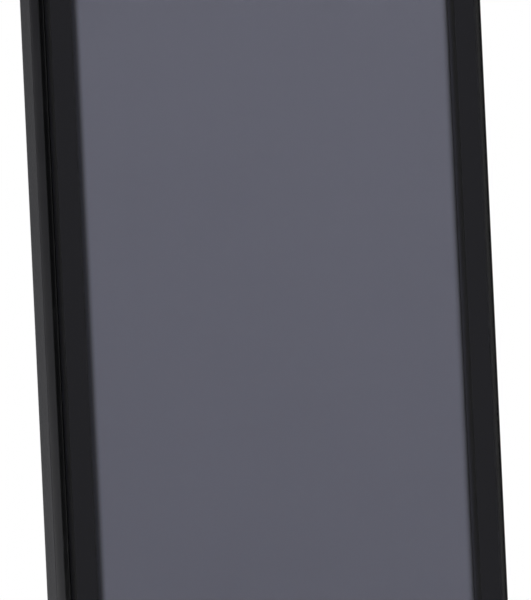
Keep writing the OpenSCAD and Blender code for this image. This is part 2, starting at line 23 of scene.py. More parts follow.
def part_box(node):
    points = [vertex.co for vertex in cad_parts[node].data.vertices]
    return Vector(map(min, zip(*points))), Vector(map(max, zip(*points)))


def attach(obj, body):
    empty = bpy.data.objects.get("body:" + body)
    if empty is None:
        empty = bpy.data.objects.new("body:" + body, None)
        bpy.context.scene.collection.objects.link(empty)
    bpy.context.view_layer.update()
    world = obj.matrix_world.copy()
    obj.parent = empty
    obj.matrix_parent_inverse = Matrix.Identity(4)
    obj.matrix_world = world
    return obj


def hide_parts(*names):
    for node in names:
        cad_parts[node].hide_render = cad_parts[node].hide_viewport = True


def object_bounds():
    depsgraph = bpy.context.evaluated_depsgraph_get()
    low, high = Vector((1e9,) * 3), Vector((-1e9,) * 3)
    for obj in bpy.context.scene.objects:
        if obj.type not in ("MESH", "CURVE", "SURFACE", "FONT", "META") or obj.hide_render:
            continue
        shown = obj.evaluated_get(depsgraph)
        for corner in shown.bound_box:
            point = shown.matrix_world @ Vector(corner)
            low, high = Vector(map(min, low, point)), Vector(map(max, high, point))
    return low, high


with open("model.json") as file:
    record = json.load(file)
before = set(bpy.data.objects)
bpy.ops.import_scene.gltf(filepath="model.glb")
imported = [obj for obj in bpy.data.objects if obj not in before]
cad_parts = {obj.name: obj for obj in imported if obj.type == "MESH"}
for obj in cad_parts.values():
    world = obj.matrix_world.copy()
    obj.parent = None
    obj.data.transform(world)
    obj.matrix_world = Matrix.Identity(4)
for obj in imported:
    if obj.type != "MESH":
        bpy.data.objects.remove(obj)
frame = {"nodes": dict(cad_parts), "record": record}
CAD_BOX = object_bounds()

log = logging.getLogger("smartphone")

MM = 0.001
HIDDEN_FACE_DEPTH = 0.05 * MM
CORNER_STEPS = 20
ROUND_STEPS = 72
NEAR_CENTRE = 0.98
FINE_GUARD = 0.015 * MM
WHITE = (1.0, 1.0, 1.0)


class Body(Enum):
    """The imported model's bodies that pieces made here ride on."""

    HANDSET = "handset"
    POWER_KEY = "power_key"
    VOLUME_ROCKER = "volume_rocker"
    CARD_TRAY = "card_tray"
    FOCUS_LENS = "focus_lens"


class Plane(Enum):
    """Which world axes a local shape's across, along and out directions lie on."""

    FRONT = (0, 2, 1)
    SIDE = (1, 2, 0)
    END = (0, 1, 2)


# ---------------------------------------------------------------- shader sheet

Value = Union["Wire", float, int, Sequence[float]]
Colour = tuple[float, float, float]


def operator(kind: str, reflected: bool = False) -> Callable[..., "Wire"]:
    """A method that adds one Math node for an operator on a wire.

    Args:
        kind: The node's operation.
        reflected: Whether the wire is the second operand, so that 1 - wire works.

    Returns:
        The method.
    """

    def method(self: "Wire", *others: Value) -> "Wire":
        """The result as a wire."""
        return self.sheet.maths(kind, *others, self) if reflected else self.sheet.maths(kind, self, *others)

    return method


class Wire:
    """A value on a node's output; arithmetic on it adds Math nodes to its sheet."""

    __add__, __radd__ = operator("ADD"), operator("ADD", True)
    __sub__, __rsub__ = operator("SUBTRACT"), operator("SUBTRACT", True)
    __mul__, __rmul__ = operator("MULTIPLY"), operator("MULTIPLY", True)
    __truediv__, __pow__, __abs__ = operator("DIVIDE"), operator("POWER"), operator("ABSOLUTE")

    def __init__(self, sheet: "Sheet", socket: bpy.types.NodeSocket | None) -> None:
        """Keeps the socket and the sheet that it is on."""
        self.sheet = sheet
        self.socket = socket

    def wave(self) -> "Wire":
        """Sine of the value, in radians."""
        return self.sheet.maths("SINE", self)

    def least(self, other: Value) -> "Wire":
        """The smaller of two values."""
        return self.sheet.maths("MINIMUM", self, other)

    def most(self, other: Value) -> "Wire":
        """The larger of two values."""
        return self.sheet.maths("MAXIMUM", self, other)

    def over(self, low: float, high: float) -> "Wire":
        """A smooth step: 0 below low and 1 above high.

        Args:
            low: The value where the step begins.
            high: The value where it ends.

        Returns:
            The step, between 0 and 1.
        """
        return self.sheet.node(
            "ShaderNodeMapRange",
            {"interpolation_type": "SMOOTHSTEP"},
            {"Value": self, "From Min": low, "From Max": high, "To Min": 0.0, "To Max": 1.0},
        )


class Sheet:
    """A material's or world's node tree, filled in by expressions."""

    def __init__(self, tree: bpy.types.NodeTree) -> None:
        """Empties the tree and keeps it.

        Args:
            tree: The node tree to fill.
        """
        tree.nodes.clear()
        self.tree = tree

    def node(
        self,
        kind: str,
        settings: Mapping[str, object] | None = None,
        values: Mapping[Union[str, int], Value] | None = None,
        out: Union[str, int] = 0,
    ) -> Wire:
        """Adds any node: its settings come first, then the values or links of its sockets.

        Args:
            kind: The node's type name.
            settings: Its own properties; "stops" fills a colour ramp.
            values: What each input socket holds or is linked to.
            out: The output socket that is returned.

        Returns:
            The chosen output.
        """
        made = self.tree.nodes.new(kind)
        for key, value in (settings or {}).items():
            if key == "stops":
                self._fill_ramp(made.color_ramp, value)
            else:
                setattr(made, key, value)
        for key, value in (values or {}).items():
            if isinstance(value, Wire):
                self.tree.links.new(value.socket, made.inputs[key])
            else:
                made.inputs[key].default_value = value
        return Wire(self, made.outputs[out] if len(made.outputs) else None)

    @staticmethod
    def _fill_ramp(ramp: bpy.types.ColorRamp, stops: Sequence[tuple[float, Sequence[float]]]) -> None:
        """Sets a ramp's stops, each a place and a colour."""
        while len(ramp.elements) < len(stops):
            ramp.elements.new(0.5)
        for element, (place, colour) in zip(ramp.elements, stops):
            element.position = place
            element.color = (*colour, 1.0)

    def maths(self, operation: str, *values: Value) -> Wire:
        """Adds one Math node for an operation on one or two values."""
        return self.node("ShaderNodeMath", {"operation": operation}, dict(enumerate(values)))

    def place(self, middle: Sequence[float] = (0.0, 0.0, 0.0)) -> Wire:
        """The point on the object, in metres, measured from a middle."""
        coords = self.node("ShaderNodeTexCoord", out="Object")
        shift = [-part for part in middle]
        return self.node("ShaderNodeMapping", {"vector_type": "POINT"}, {"Vector": coords, "Location": shift})

    def split(self, vector: Wire) -> tuple[Wire, Wire, Wire]:
        """The three parts of a vector."""
        made = self.node("ShaderNodeSeparateXYZ", values={"Vector": vector}).socket.node
        return tuple(Wire(self, made.outputs[axis]) for axis in range(3))

    def noise(self, where: Wire, grain: float, detail: float = 2.0, roughness: float = 0.5) -> Wire:
        """Smooth noise from 0 to 1.

        Args:
            where: The point.
            grain: The size of one cell, in metres.
            detail: The number of finer layers.
            roughness: How strong the finer layers are.

        Returns:
            The noise value.
        """
        return self.node(
            "ShaderNodeTexNoise",
            {"noise_dimensions": "3D"},
            {"Vector": where, "Scale": 1.0 / grain, "Detail": detail, "Roughness": roughness},
        )

    def pebbles(self, where: Wire, grain: float) -> Wire:
        """Distance to the nearest of scattered points, for a grained surface."""
        return self.node("ShaderNodeTexVoronoi", {}, {"Vector": where, "Scale": 1.0 / grain})

    def stretched(self, where: Wire, factors: Sequence[float]) -> Wire:
        """The point with each axis multiplied, to draw a pattern out along one of them."""
        return self.node("ShaderNodeVectorMath", {"operation": "MULTIPLY"}, {0: where, 1: tuple(factors)})

    def depth_in(self, rect: RoundRect) -> Wire:
        """How far inside a rounded rectangle's outline a point lies, in metres.

        It is the corner radius, less the length past the corner's centre lines on both axes, less
        the larger of the two where both are negative.

        Args:
            rect: The rounded rectangle, on the front's axes.

        Returns:
            The depth, which is negative outside.
        """
        x, _, z = self.split(self.place((rect.across, 0.0, rect.along)))
        past_x = abs(x) - (rect.width / 2 - rect.radius)
        past_z = abs(z) - (rect.height / 2 - rect.radius)
        beyond = (past_x.most(0.0) ** 2 + past_z.most(0.0) ** 2) ** 0.5
        return rect.radius - beyond - past_x.most(past_z).least(0.0)

    def blend(self, share: Value, first: Value, second: Value) -> Wire:
        """Mixes two colours.

        Args:
            share: How much of the second shows.
            first: The colour at 0.
            second: The colour at 1.

        Returns:
            The mixed colour.
        """
        values = {0: share}
        for slot, colour in ((6, first), (7, second)):
            values[slot] = colour if isinstance(colour, Wire) else (*colour, 1.0)
        return self.node("ShaderNodeMix", {"data_type": "RGBA"}, values, out=2)

    def tones(self, share: Value, colour: Colour, dark: float, light: float = 1.0) -> Wire:
        """Mixes a darker and a lighter shade of one colour, each given as a factor."""
        darker, lighter = (tuple(factor * part for part in colour) for factor in (dark, light))
        return self.blend(share, darker, lighter)

    def mixed(self, share: Value, first: Wire, second: Wire) -> Wire:
        """Mixes two shaders."""
        return self.node("ShaderNodeMixShader", {}, {0: share, 1: first, 2: second})

    def clear(self, tint: Colour) -> Wire:
        """A shader that lets light straight through, dimmed by a tint."""
        return self.node("ShaderNodeBsdfTransparent", values={"Color": (*tint, 1.0)})

    def grid_line(self, value: Wire, pitch: float) -> Wire:
        """Distance to the nearest line of an even row of lines."""
        return self.maths("PINGPONG", value + 1.0, pitch / 2)

    def bump(self, height: Wire, depth: float) -> Wire:
        """A normal tilted by a height from 0 to 1 that stands for a depth in metres."""
        return self.node("ShaderNodeBump", {}, {"Height": height, "Distance": depth, "Strength": 1.0})

    def coated(self, base: Value, roughness: Value, normal: Wire | None = None, **constants: Value) -> Wire:
        """One Principled shader.

        Args:
            base: Its base colour.
            roughness: Its roughness.
            normal: A bumped normal, if it has one.
            **constants: Other sockets, with underscores for the spaces in their names.

        Returns:
            The shader.
        """
        values: dict[Union[str, int], Value] = {
            "Base Color": base if isinstance(base, Wire) else (*base, 1.0), "Roughness": roughness,
        }
        if normal is not None:
            values["Normal"] = normal
        values.update({name.replace("_", " "): value for name, value in constants.items()})
        return self.node("ShaderNodeBsdfPrincipled", {}, values)

    def show(self, shader: Wire) -> None:
        """Sends a shader to the material's output."""
        self.node("ShaderNodeOutputMaterial", values={"Surface": shader})


# ---------------------------------------------------------------- finishes


@dataclass(frozen=True)
class Finish:
    """What a surface is made of and how it was worked; each kind of finish paints its own way."""

    name: str

    def paint(self, sheet: Sheet) -> Wire:
        """Draws the finish on a sheet and returns its shader."""
        raise NotImplementedError

    def material(self) -> bpy.types.Material:
        """The finish as a material, made once.

        Returns:
            The material, shared by all pieces with this finish.
        """
        held = bpy.data.materials.get(self.name)
        if held is not None:
            return held
        made = bpy.data.materials.new(self.name)
        made.use_nodes = True
        sheet = Sheet(made.node_tree)
        sheet.show(self.paint(sheet))
        return made


@dataclass(frozen=True)
class SatinCoat(Finish):
    """A sprayed satin coat over metal or plastic: fine orange peel, small flakes and handled patches."""

    colour: Colour = (0.05, 0.05, 0.053)
    roughness: float = 0.42
    peel: float = 0.22 * MM
    peel_depth: float = 0.004 * MM

    def paint(self, sheet: Sheet) -> Wire:
        """Colour drifts by a tenth over centimetres, and the roughness a little where it was held."""
        here = sheet.place()
        drift = sheet.noise(here, 14 * MM, 3.0)
        handled = sheet.noise(here, 5 * MM, 4.0, 0.6)
        flake = sheet.noise(here, 0.09 * MM, 1.0)
        peel = sheet.noise(here, self.peel, 2.0)
        return sheet.coated(
            sheet.tones(drift * 0.6 + flake * 0.4, self.colour, 0.88, 1.10),
            self.roughness - 0.05 + handled * 0.1,
            sheet.bump(peel, self.peel_depth),
        )


@dataclass(frozen=True)
class SoftTouch(Finish):
    """Moulded plastic with a spark-eroded grain and a rubbery coat, polished a little by hands."""

    colour: Colour = (0.0150, 0.0146, 0.0205)
    roughness: float = 0.52
    grain: float = 0.30 * MM
    grain_depth: float = 0.024 * MM

    def paint(self, sheet: Sheet) -> Wire:
        """Pebbled grain, with broad patches where the coat is a little smoother."""
        here = sheet.place()
        grain = sheet.pebbles(here, self.grain)
        fine = sheet.noise(here, self.grain * 0.4, 2.0)
        patch = sheet.noise(here, 18 * MM, 4.0, 0.6)
        return sheet.coated(
            sheet.tones(patch * 0.5 + fine * 0.5, self.colour, 0.85, 1.15),
            self.roughness - patch * 0.14 + grain * 0.06,
            sheet.bump(grain * 0.7 + fine * 0.3, self.grain_depth),
            Specular_IOR_Level=0.38,
            Sheen_Weight=0.06,
            Sheen_Roughness=0.4,
        )


@dataclass(frozen=True)
class PianoBlack(Finish):
    """Polished black plastic with hair scratches and a trace of dust in its sheen."""

    colour: Colour = (0.0025, 0.0025, 0.003)
    roughness: float = 0.10
    scratch_depth: float = 0.0006 * MM

    def paint(self, sheet: Sheet) -> Wire:
        """Scratches are noise drawn out along the length, cut to its thin peaks."""
        here = sheet.place()
        lines = sheet.noise(sheet.stretched(here, (1.0, 1.0, 0.05)), 0.12 * MM, 1.0)
        scratch = lines.over(0.62, 0.72)
        dust = sheet.noise(here, 2.5 * MM, 5.0, 0.7).over(0.5, 0.75)
        return sheet.coated(
            sheet.tones(dust * 0.3, self.colour, 1.0, 2.2),
            self.roughness + scratch * 0.08 + dust * 0.05,
            sheet.bump(scratch, self.scratch_depth),
        )


@dataclass(frozen=True)
class PrintedZone:
    """The flat part of the glass that has print behind it and no opening near."""

    outline: RoundRect
    window: RoundRect
    openings: tuple[RoundRect, ...]
    fall: float
    margin: float = 0.8 * MM
    blur: float = 0.15 * MM

    def share(self, sheet: Sheet) -> Wire:
        """1 inside the glass edge's fall and a margin clear of each opening, 0 elsewhere."""
        share = sheet.depth_in(self.outline).over(self.fall, self.fall + self.blur)
        for opening in (self.window, *self.openings):
            share = share * (1.0 - sheet.depth_in(opening).over(-self.margin - self.blur, -self.margin))
        return share


@dataclass(frozen=True)
class ClearPane(Finish):
    """Polished glass whose outer faces mirror by angle and whose body lets all light through."""

    index: float = 1.5
    tint: Colour = (0.985, 0.99, 0.99)
    smudge: float = 0.05
    printed: PrintedZone | None = None
    print_colour: Colour = (0.002, 0.002, 0.004)

    def paint(self, sheet: Sheet) -> Wire:
        """The mirror's share is the Fresnel term, on outer faces only; smudges blur it in patches.

        Over print the glass shows the print's black in its own face, which looks the same.
        """
        here = sheet.place()
        smear = sheet.noise(sheet.stretched(here, (1.0, 1.0, 0.6)), 9 * MM, 4.0, 0.65).over(0.45, 0.8)
        body = sheet.clear(self.tint)
        mirror = sheet.coated(WHITE, 0.012 + smear * self.smudge, Metallic=1.0)
        outer = 1.0 - sheet.node("ShaderNodeNewGeometry", out="Backfacing")
        share = sheet.node("ShaderNodeFresnel", {}, {"IOR": self.index}) * outer
        if self.printed is not None:
            black = sheet.coated(self.print_colour, 0.45, Specular_IOR_Level=0.02)
            body = sheet.mixed(self.printed.share(sheet), body, black)
        return sheet.mixed(share, body, mirror)


@dataclass(frozen=True)
class DarkFilm(Finish):
    """Opaque printed film seen through glass, very even, with a trace of blue by its window."""

    colour: Colour = (0.002, 0.002, 0.004)
    edge_colour: Colour = (0.012, 0.012, 0.020)
    window: RoundRect | None = None
    reach: float = 0.7 * MM

    def paint(self, sheet: Sheet) -> Wire:
        """The printed dots thin out towards the window."""
        near = sheet.depth_in(self.window).over(-self.reach, 0.0)
        speck = sheet.noise(sheet.place(), 0.25 * MM, 2.0)
        colour = sheet.blend(near, self.colour, self.edge_colour)
        return sheet.coated(colour, 0.42 + speck * 0.06, Specular_IOR_Level=0.02)


@dataclass(frozen=True)
class DisplayCell(Finish):
    """A switched-off liquid crystal cell: grey-blue, with a black matrix border and faint columns; painted
    shade of the mask's edge fades the picture into the border.
    """

    colour: Colour = (0.104, 0.103, 0.135)
    border: Colour = (0.004, 0.004, 0.006)
    window: RoundRect | None = None
    dot_pitch: float = 0.081 * MM
    # Width of the painted shade of the mask's edge over the picture, and how much further in that shade
    # reaches on the left.
    painted_shade_width: float = 0.7 * MM
    left_shade_margin: float = 0.27 * MM

    def paint(self, sheet: Sheet) -> Wire:
        """Columns are a sine at the dot pitch; the polariser's cloudiness is slow noise. Near the window's
        edge the picture fades to black as painted shade of the mask's edge, reaching further in on the left.
        """
        half_x, half_z = self.window.width / 2, self.window.height / 2
        x, _, z = sheet.split(sheet.place((self.window.across, 0.0, self.window.along)))
        # Painted shade: the picture darkens to the border's black across the window's edge, as if shaded by
        # the mask, further in on the left.
        beside = (self.left_shade_margin - half_x - x).most((x - half_x) * 0.7)
        away = beside.most(abs(z) - half_z)
        lit = 1.0 - away.over(-self.painted_shade_width, self.painted_shade_width * 0.6)
        columns, rows = ((axis * (2 * math.pi / self.dot_pitch)).wave() for axis in (x, z))
        cloud = sheet.noise(sheet.stretched(sheet.place(), (1.0, 1.0, 0.5)), 16 * MM, 3.0)
        shade = 0.5 + columns * rows * 0.02 + (cloud - 0.5) * 0.12
        picture = sheet.blend(lit, self.border, sheet.tones(shade, self.colour, 0.86, 1.14))
        return sheet.coated(picture, 0.48 + cloud * 0.06, Specular_IOR_Level=0.1)


@dataclass(frozen=True)
class SensorFilm(Finish):
    """Clear conductive film with a mesh of lines too faint to see square on."""

    pitch: float = 4.2 * MM
    line: float = 0.06 * MM
    tint: Colour = (0.995, 0.995, 0.995)
    trace: Colour = (0.10, 0.10, 0.12)

    def paint(self, sheet: Sheet) -> Wire:
        """Lines lie on a square grid; between them the film dims by half a hundredth."""
        x, _, z = sheet.split(sheet.place())
        nearest = sheet.grid_line(x, self.pitch).least(sheet.grid_line(z, self.pitch))
        line = 1.0 - nearest.over(0.0, self.line)
        return sheet.mixed(line * 0.03, sheet.clear(self.tint), sheet.coated(self.trace, 0.4))


@dataclass(frozen=True)
class BrushedMetal(Finish):
    """Sheet or bar metal with fine lines drawn along one axis."""

    colour: Colour = (0.6, 0.6, 0.62)
    roughness: float = 0.32
    stretch: tuple[float, float, float] = (1.0, 1.0, 0.03)
    grain: float = 0.06 * MM
    depth: float = 0.0015 * MM
    metal: float = 1.0

    def paint(self, sheet: Sheet) -> Wire:
        """Lines are noise drawn out along the brushing; stains are slow noise."""
        here = sheet.place()
        lines = sheet.noise(sheet.stretched(here, self.stretch), self.grain, 2.0)
        stain = sheet.noise(here, 4 * MM, 4.0, 0.6)
        return sheet.coated(
            sheet.tones(stain * 0.5 + lines * 0.5, self.colour, 0.8),
            self.roughness - 0.06 + lines * 0.08 + stain * 0.08,
            sheet.bump(lines, self.depth),
            Metallic=self.metal,
        )


GILT = BrushedMetal("gilt", colour=(0.83, 0.62, 0.30), roughness=0.3)


@dataclass(frozen=True)
class TurnedMetal(Finish):
    """Metal turned on a lathe about the depth axis: fine rings round a middle."""

    colour: Colour = (0.25, 0.25, 0.265)
    middle: tuple[float, float, float] = (0.0, 0.0, 0.0)
    pitch: float = 0.07 * MM
    depth: float = 0.0012 * MM
    roughness: float = 0.26

    def paint(self, sheet: Sheet) -> Wire:
        """Rings are a sine of the distance from the middle; blasting adds a little noise."""
        here = sheet.place(self.middle)
        x, _, z = sheet.split(here)
        radius = (x * x + z * z) ** 0.5
        rings = (radius * (2 * math.pi / self.pitch)).wave() * 0.5 + 0.5
        blast = sheet.noise(here, 0.08 * MM, 2.0)
        return sheet.coated(
            sheet.tones(blast, self.colour, 0.85, 1.1),
            self.roughness + blast * 0.1,
            sheet.bump(rings * 0.6 + blast * 0.4, self.depth),
            Metallic=1.0,
        )


@dataclass(frozen=True)
class CoatedLens(Finish):
    """A lens element whose coating's reflected colour is painted into its base colour, turning from violet at
    the middle to green at its rim.
    """

    deep: Colour = (0.004, 0.004, 0.010)
    centre: Colour = (0.10, 0.03, 0.20)
    rim: Colour = (0.01, 0.10, 0.08)
    middle: tuple[float, float, float] = (0.0, 0.0, 0.0)
    reach: float = 1.6 * MM

    def paint(self, sheet: Sheet) -> Wire:
        """Painted reflection: violet and green share the surface by radius, strongest in a ring, over a
        nearly black well.
        """
        x, _, z = sheet.split(sheet.place(self.middle))
        out = ((x * x + z * z) ** 0.5) / self.reach
        # Painted reflection of the coating: the colour it shows only in reflected light, laid into the base
        # colour in a ring.
        painted_reflection_hue = sheet.blend(out.over(0.15, 0.95), self.centre, self.rim)
        ring = out.over(0.2, 0.5) * (1.0 - out.over(0.7, 1.0))
        return sheet.coated(
            sheet.blend(0.12 + ring * 0.45, self.deep, painted_reflection_hue),
            0.03 + out * 0.02,
            Specular_IOR_Level=0.6,
            Coat_Weight=1.0,
            Coat_Roughness=0.02,
        )


@dataclass(frozen=True)
class ClearMoulding(Finish):
    """Water-clear or milky moulded acrylic over something pale."""

    colour: Colour = (0.85, 0.85, 0.82)
    roughness: float = 0.12
    ripple: float = 0.35 * MM
    ripple_depth: float = 0.006 * MM

    def paint(self, sheet: Sheet) -> Wire:
        """Slow ripples from the moulding bend the highlight."""
        here = sheet.place()
        ripple = sheet.noise(here, self.ripple, 2.0)
        tone = sheet.noise(here, 2.0 * MM, 3.0)
        return sheet.coated(
            sheet.tones(tone, self.colour, 0.9),
            self.roughness + ripple * 0.08,
            sheet.bump(ripple, self.ripple_depth),
            Coat_Weight=0.6,
            Coat_Roughness=0.05,
        )


@dataclass(frozen=True)
class WovenMesh(Finish):
    """Fine wire cloth, blackened: over and under at a small pitch."""

    colour: Colour = (0.09, 0.09, 0.10)
    pitch: float = 0.16 * MM
    depth: float = 0.03 * MM

    def paint(self, sheet: Sheet) -> Wire:
        """The weave is a product of two sines, and the gaps between wires are painted near black as painted
        shade.
        """
        x, _, z = sheet.split(sheet.place())
        warp, weft = ((axis * (math.pi / self.pitch)).wave() for axis in (x, z))
        height = (warp * weft) * 0.5 + 0.5
        return sheet.coated(
            # Painted shade: where the wires dip, the colour goes to near black.
            sheet.blend(height.over(0.15, 0.6), (0.004, 0.004, 0.004), self.colour),
            0.38 + height * 0.1,
            sheet.bump(height, self.depth),
            Metallic=0.9,
        )


@dataclass(frozen=True)
class CircuitBoard(Finish):
    """Green solder mask over copper tracks, with rows of small bare pads."""

    mask: Colour = (0.012, 0.075, 0.035)
    track: Colour = (0.03, 0.15, 0.06)
    pad: Colour = (0.75, 0.58, 0.28)
    pitch: float = 1.1 * MM
    bend: float = 4 * MM

    def paint(self, sheet: Sheet) -> Wire:
        """Tracks follow the bands of a bent grid; pads sit where a slow noise allows them."""
        here = sheet.place()
        bend = sheet.noise(here, 6 * MM, 1.0) * self.bend
        x, _, z = sheet.split(here)
        across, along = (sheet.grid_line(axis + bend, self.pitch) for axis in (x, z))
        track = 1.0 - across.least(along).over(0.08 * MM, 0.16 * MM)
        fields = sheet.noise(here, 3.5 * MM, 1.0).over(0.56, 0.58)
        pad = (across * along * 4.0e6).over(0.75, 0.85) * fields
        copper = sheet.blend(track, self.mask, self.track)
        return sheet.coated(
            sheet.blend(pad, copper, self.pad),
            0.32 - track * 0.05,
            sheet.bump(track * 0.5 + pad * 0.5, 0.03 * MM),
            Metallic=pad,
        )


@dataclass(frozen=True)
class PlainMoulding(Finish):
    """Engineering plastic, rubber, card or epoxy: a colour with a fine tooth."""

    colour: Colour = (0.03, 0.03, 0.032)
    roughness: float = 0.5
    grain: float = 0.12 * MM
    depth: float = 0.006 * MM

    def paint(self, sheet: Sheet) -> Wire:
        """A fine tooth, with a slow drift of tone."""
        here = sheet.place()
        tooth = sheet.noise(here, self.grain, 2.0)
        tone = sheet.noise(here, 6 * MM, 3.0)
        return sheet.coated(
            sheet.tones(tone, self.colour, 0.85, 1.12),
            self.roughness + tooth * 0.1,
            sheet.bump(tooth, self.depth),
        )


@dataclass(frozen=True)
class TableTop(Finish):
    """A white laminate with the least of textures."""

    colour: Colour = (0.68, 0.68, 0.68)
    roughness: float = 0.6

    def paint(self, sheet: Sheet) -> Wire:
        """Tone drifts by a hundredth over a hand's width."""
        here = sheet.place()
        tone = sheet.noise(here, 90 * MM, 2.0)
        tooth = sheet.noise(here, 0.7 * MM, 2.0)
        return sheet.coated(
            sheet.tones(tone, self.colour, 0.99, 1.01),
            self.roughness + tooth * 0.05,
            Specular_IOR_Level=0.2,
        )


@dataclass(frozen=True)
class FoilRibbon(Finish):
    """Amber film over copper tracks that run along it."""

    film: Colour = (0.33, 0.13, 0.03)
    track: Colour = (0.55, 0.25, 0.09)
    pitch: float = 0.5 * MM

    def paint(self, sheet: Sheet) -> Wire:
        """Tracks are bands across the ribbon's width, softened by the film over them."""
        here = sheet.place()
        x, _, _ = sheet.split(here)
        band = (x * (2 * math.pi / self.pitch)).wave().over(-0.1, 0.3)
        crease = sheet.noise(here, 1.5 * MM, 3.0)
        return sheet.coated(
            sheet.blend(band, self.film, self.track),
            0.28 + crease * 0.12,
            sheet.bump(band * 0.6 + crease * 0.4, 0.02 * MM),
        )


# ---------------------------------------------------------------- surfaces

Points = np.ndarray
Faces = list[tuple[int, ...]]


@dataclass(frozen=True)
class Shape:
    """Vertices with three local coordinates (across, along, out) and faces on them."""

    points: Points
    faces: Faces

    def moved(self, offset: Sequence[float]) -> "Shape":
        """The shape shifted by an offset in its own coordinates."""
        return Shape(self.points + np.asarray(offset), self.faces)

    def joined(self, other: "Shape") -> "Shape":
        """This shape and another as one, with separate islands."""
        count = len(self.points)
        faces = self.faces + [tuple(i + count for i in face) for face in other.faces]
        return Shape(np.concatenate([self.points, other.points]), faces)

    def repeated(self, offsets: Points) -> "Shape":
        """Copies at many offsets, as one shape with separate islands."""
        count = len(self.points)
        points = (self.points[None, :, :] + offsets[:, None, :]).reshape(-1, 3)
        faces = [
            tuple(i + count * copy for i in face) for copy in range(len(offsets)) for face in self.faces
        ]
        return Shape(points, faces)


@dataclass(frozen=True)
class RoundRect:
    """A rectangle with round corners in the across-along plane."""

    width: float
    height: float
    radius: float
    across: float = 0.0
    along: float = 0.0

    def grown(self, by: float) -> "RoundRect":
        """The outline moved outwards, or inwards where the value is negative."""
        width, height = self.width + 2 * by, self.height + 2 * by
        return replace(self, width=width, height=height, radius=self.radius + by)

    def rounded(self, radius: float) -> "RoundRect":
        """The same rectangle with another corner radius."""
        return replace(self, radius=radius)

    def rays(self, corner_steps: int = CORNER_STEPS, side_steps: int = 6) -> tuple[Points, Points]:
        """Anchors and unit directions whose sum, times the corner radius, is the outline.

        Each corner's points share its centre as anchor and fan out through a quarter turn; each
        side's points move from one centre to the next and keep the side's outward direction.

        Args:
            corner_steps: The number of steps in a quarter turn.
            side_steps: The number of steps along a side.

        Returns:
            The anchors and the directions, both with one row per outline point.
        """
        reach = np.array([self.width / 2 - self.radius, self.height / 2 - self.radius])
        signs = np.array([[1, 1], [-1, 1], [-1, -1], [1, -1]], float)
        centres = signs * reach + np.array([self.across, self.along])
        turn = np.linspace(0.0, math.pi / 2, corner_steps + 1)
        walk = np.linspace(0.0, 1.0, side_steps + 1)[1:-1, None]
        anchors, directions = [], []
        for corner in range(4):
            angle = turn + corner * math.pi / 2
            fan = np.stack([np.cos(angle), np.sin(angle)], axis=1)
            anchors += [np.repeat(centres[corner][None], len(turn), axis=0)]
            anchors += [centres[corner] * (1 - walk) + centres[(corner + 1) % 4] * walk]
            directions += [fan, np.repeat(fan[-1][None], len(walk), axis=0)]
        return np.concatenate(anchors), np.concatenate(directions)


def filleted(
    corners: Sequence[tuple[float, float, float]], closed: bool, steps: int = 5, guard: float = 0.03 * MM
) -> Points:
    """A section through corners, each rounded by its own radius.

    A rounded corner is an arc tangent to both of its sides, with one extra point a guard's length
    beyond each end, which keeps the shading of the flats true.

    Args:
        corners: Each corner's inset, height and radius.
        closed: Whether the last corner joins the first.
        steps: The number of steps in each arc.
        guard: How far the extra points lie beyond the arc.

    Returns:
        The section's points, one (inset, height) row each.
    """
    places = np.array([c[:2] for c in corners], float)
    count = len(corners)
    rows: list[Points] = []
    for i, (_, _, radius) in enumerate(corners):
        here = places[i]
        if radius <= 0 or (not closed and i in (0, count - 1)):
            rows.append(here[None])
            continue
        back = places[i - 1] - here
        ahead = places[(i + 1) % count] - here
        room = min(np.linalg.norm(back), np.linalg.norm(ahead))
        back, ahead = back / np.linalg.norm(back), ahead / np.linalg.norm(ahead)
        half = math.acos(float(np.clip(back @ ahead, -1, 1))) / 2
        reach = radius / math.tan(half)
        middle = here + (back + ahead) / np.linalg.norm(back + ahead) * (radius / math.sin(half))
        start, stop = here + back * reach - middle, here + ahead * reach - middle
        sweep = math.atan2(start[0] * stop[1] - start[1] * stop[0], float(start @ stop))
        angle = math.atan2(start[1], start[0]) + np.linspace(0.0, sweep, steps + 1)
        arc = middle + radius * np.stack([np.cos(angle), np.sin(angle)], axis=1)
        if reach + guard < room / 2:
            arc = np.concatenate(
                [(here + back * (reach + guard))[None], arc, (here + ahead * (reach + guard))[None]]
            )
        rows.append(arc)
    return np.concatenate(rows)


def grid_faces(rows: int, columns: int, wrap_rows: bool) -> Faces:
    """Quads over a grid that wraps round its columns.

    Args:
        rows: The number of grid rows.
        columns: The number of points in a row.
        wrap_rows: Whether the last row joins the first.

    Returns:
        One face per cell.
    """
    row = np.arange(rows if wrap_rows else rows - 1)[:, None]
    column = np.arange(columns)[None, :]
    after_row, after_column = (row + 1) % rows, (column + 1) % columns
    near, far = row * columns, after_row * columns
    cells = np.stack([near + column, near + after_column, far + after_column, far + column], axis=-1)
    return [tuple(cell) for cell in cells.reshape(-1, 4).tolist()]


def at_heights(flat: Points, heights: Points) -> Points:
    """Rows of flat points, each row lifted to its own height, as one list of points."""
    lifted = np.repeat(heights[:, None, None], flat.shape[1], axis=1)
    return np.concatenate([flat, lifted], axis=2).reshape(-1, 3)


def carried(outline: RoundRect, section: Points, closed: bool, corner_steps: int = CORNER_STEPS) -> Shape:
    """A section carried round a rounded rectangle.

    Each point is the outline's anchor plus its direction times (corner radius less inset), at the
    section's own height. An open section is shut by a flat face at each end.

    Args:
        outline: The rounded rectangle at inset nought.
        section: The (inset, height) rows.
        closed: Whether the section is a loop.
        corner_steps: The number of steps in a quarter turn.

    Returns:
        The shape, in (across, along, out).
    """
    anchors, directions = outline.rays(corner_steps)
    columns = len(anchors)
    reach = (outline.radius - section[:, 0])[:, None, None]
    points = at_heights(anchors[None] + directions[None] * reach, section[:, 1])
    faces = grid_faces(len(section), columns, closed)
    if not closed:
        last = (len(section) - 1) * columns
        faces.append(tuple(range(columns))[::-1])
        faces.append(tuple(range(last, last + columns)))
    return Shape(points, faces)


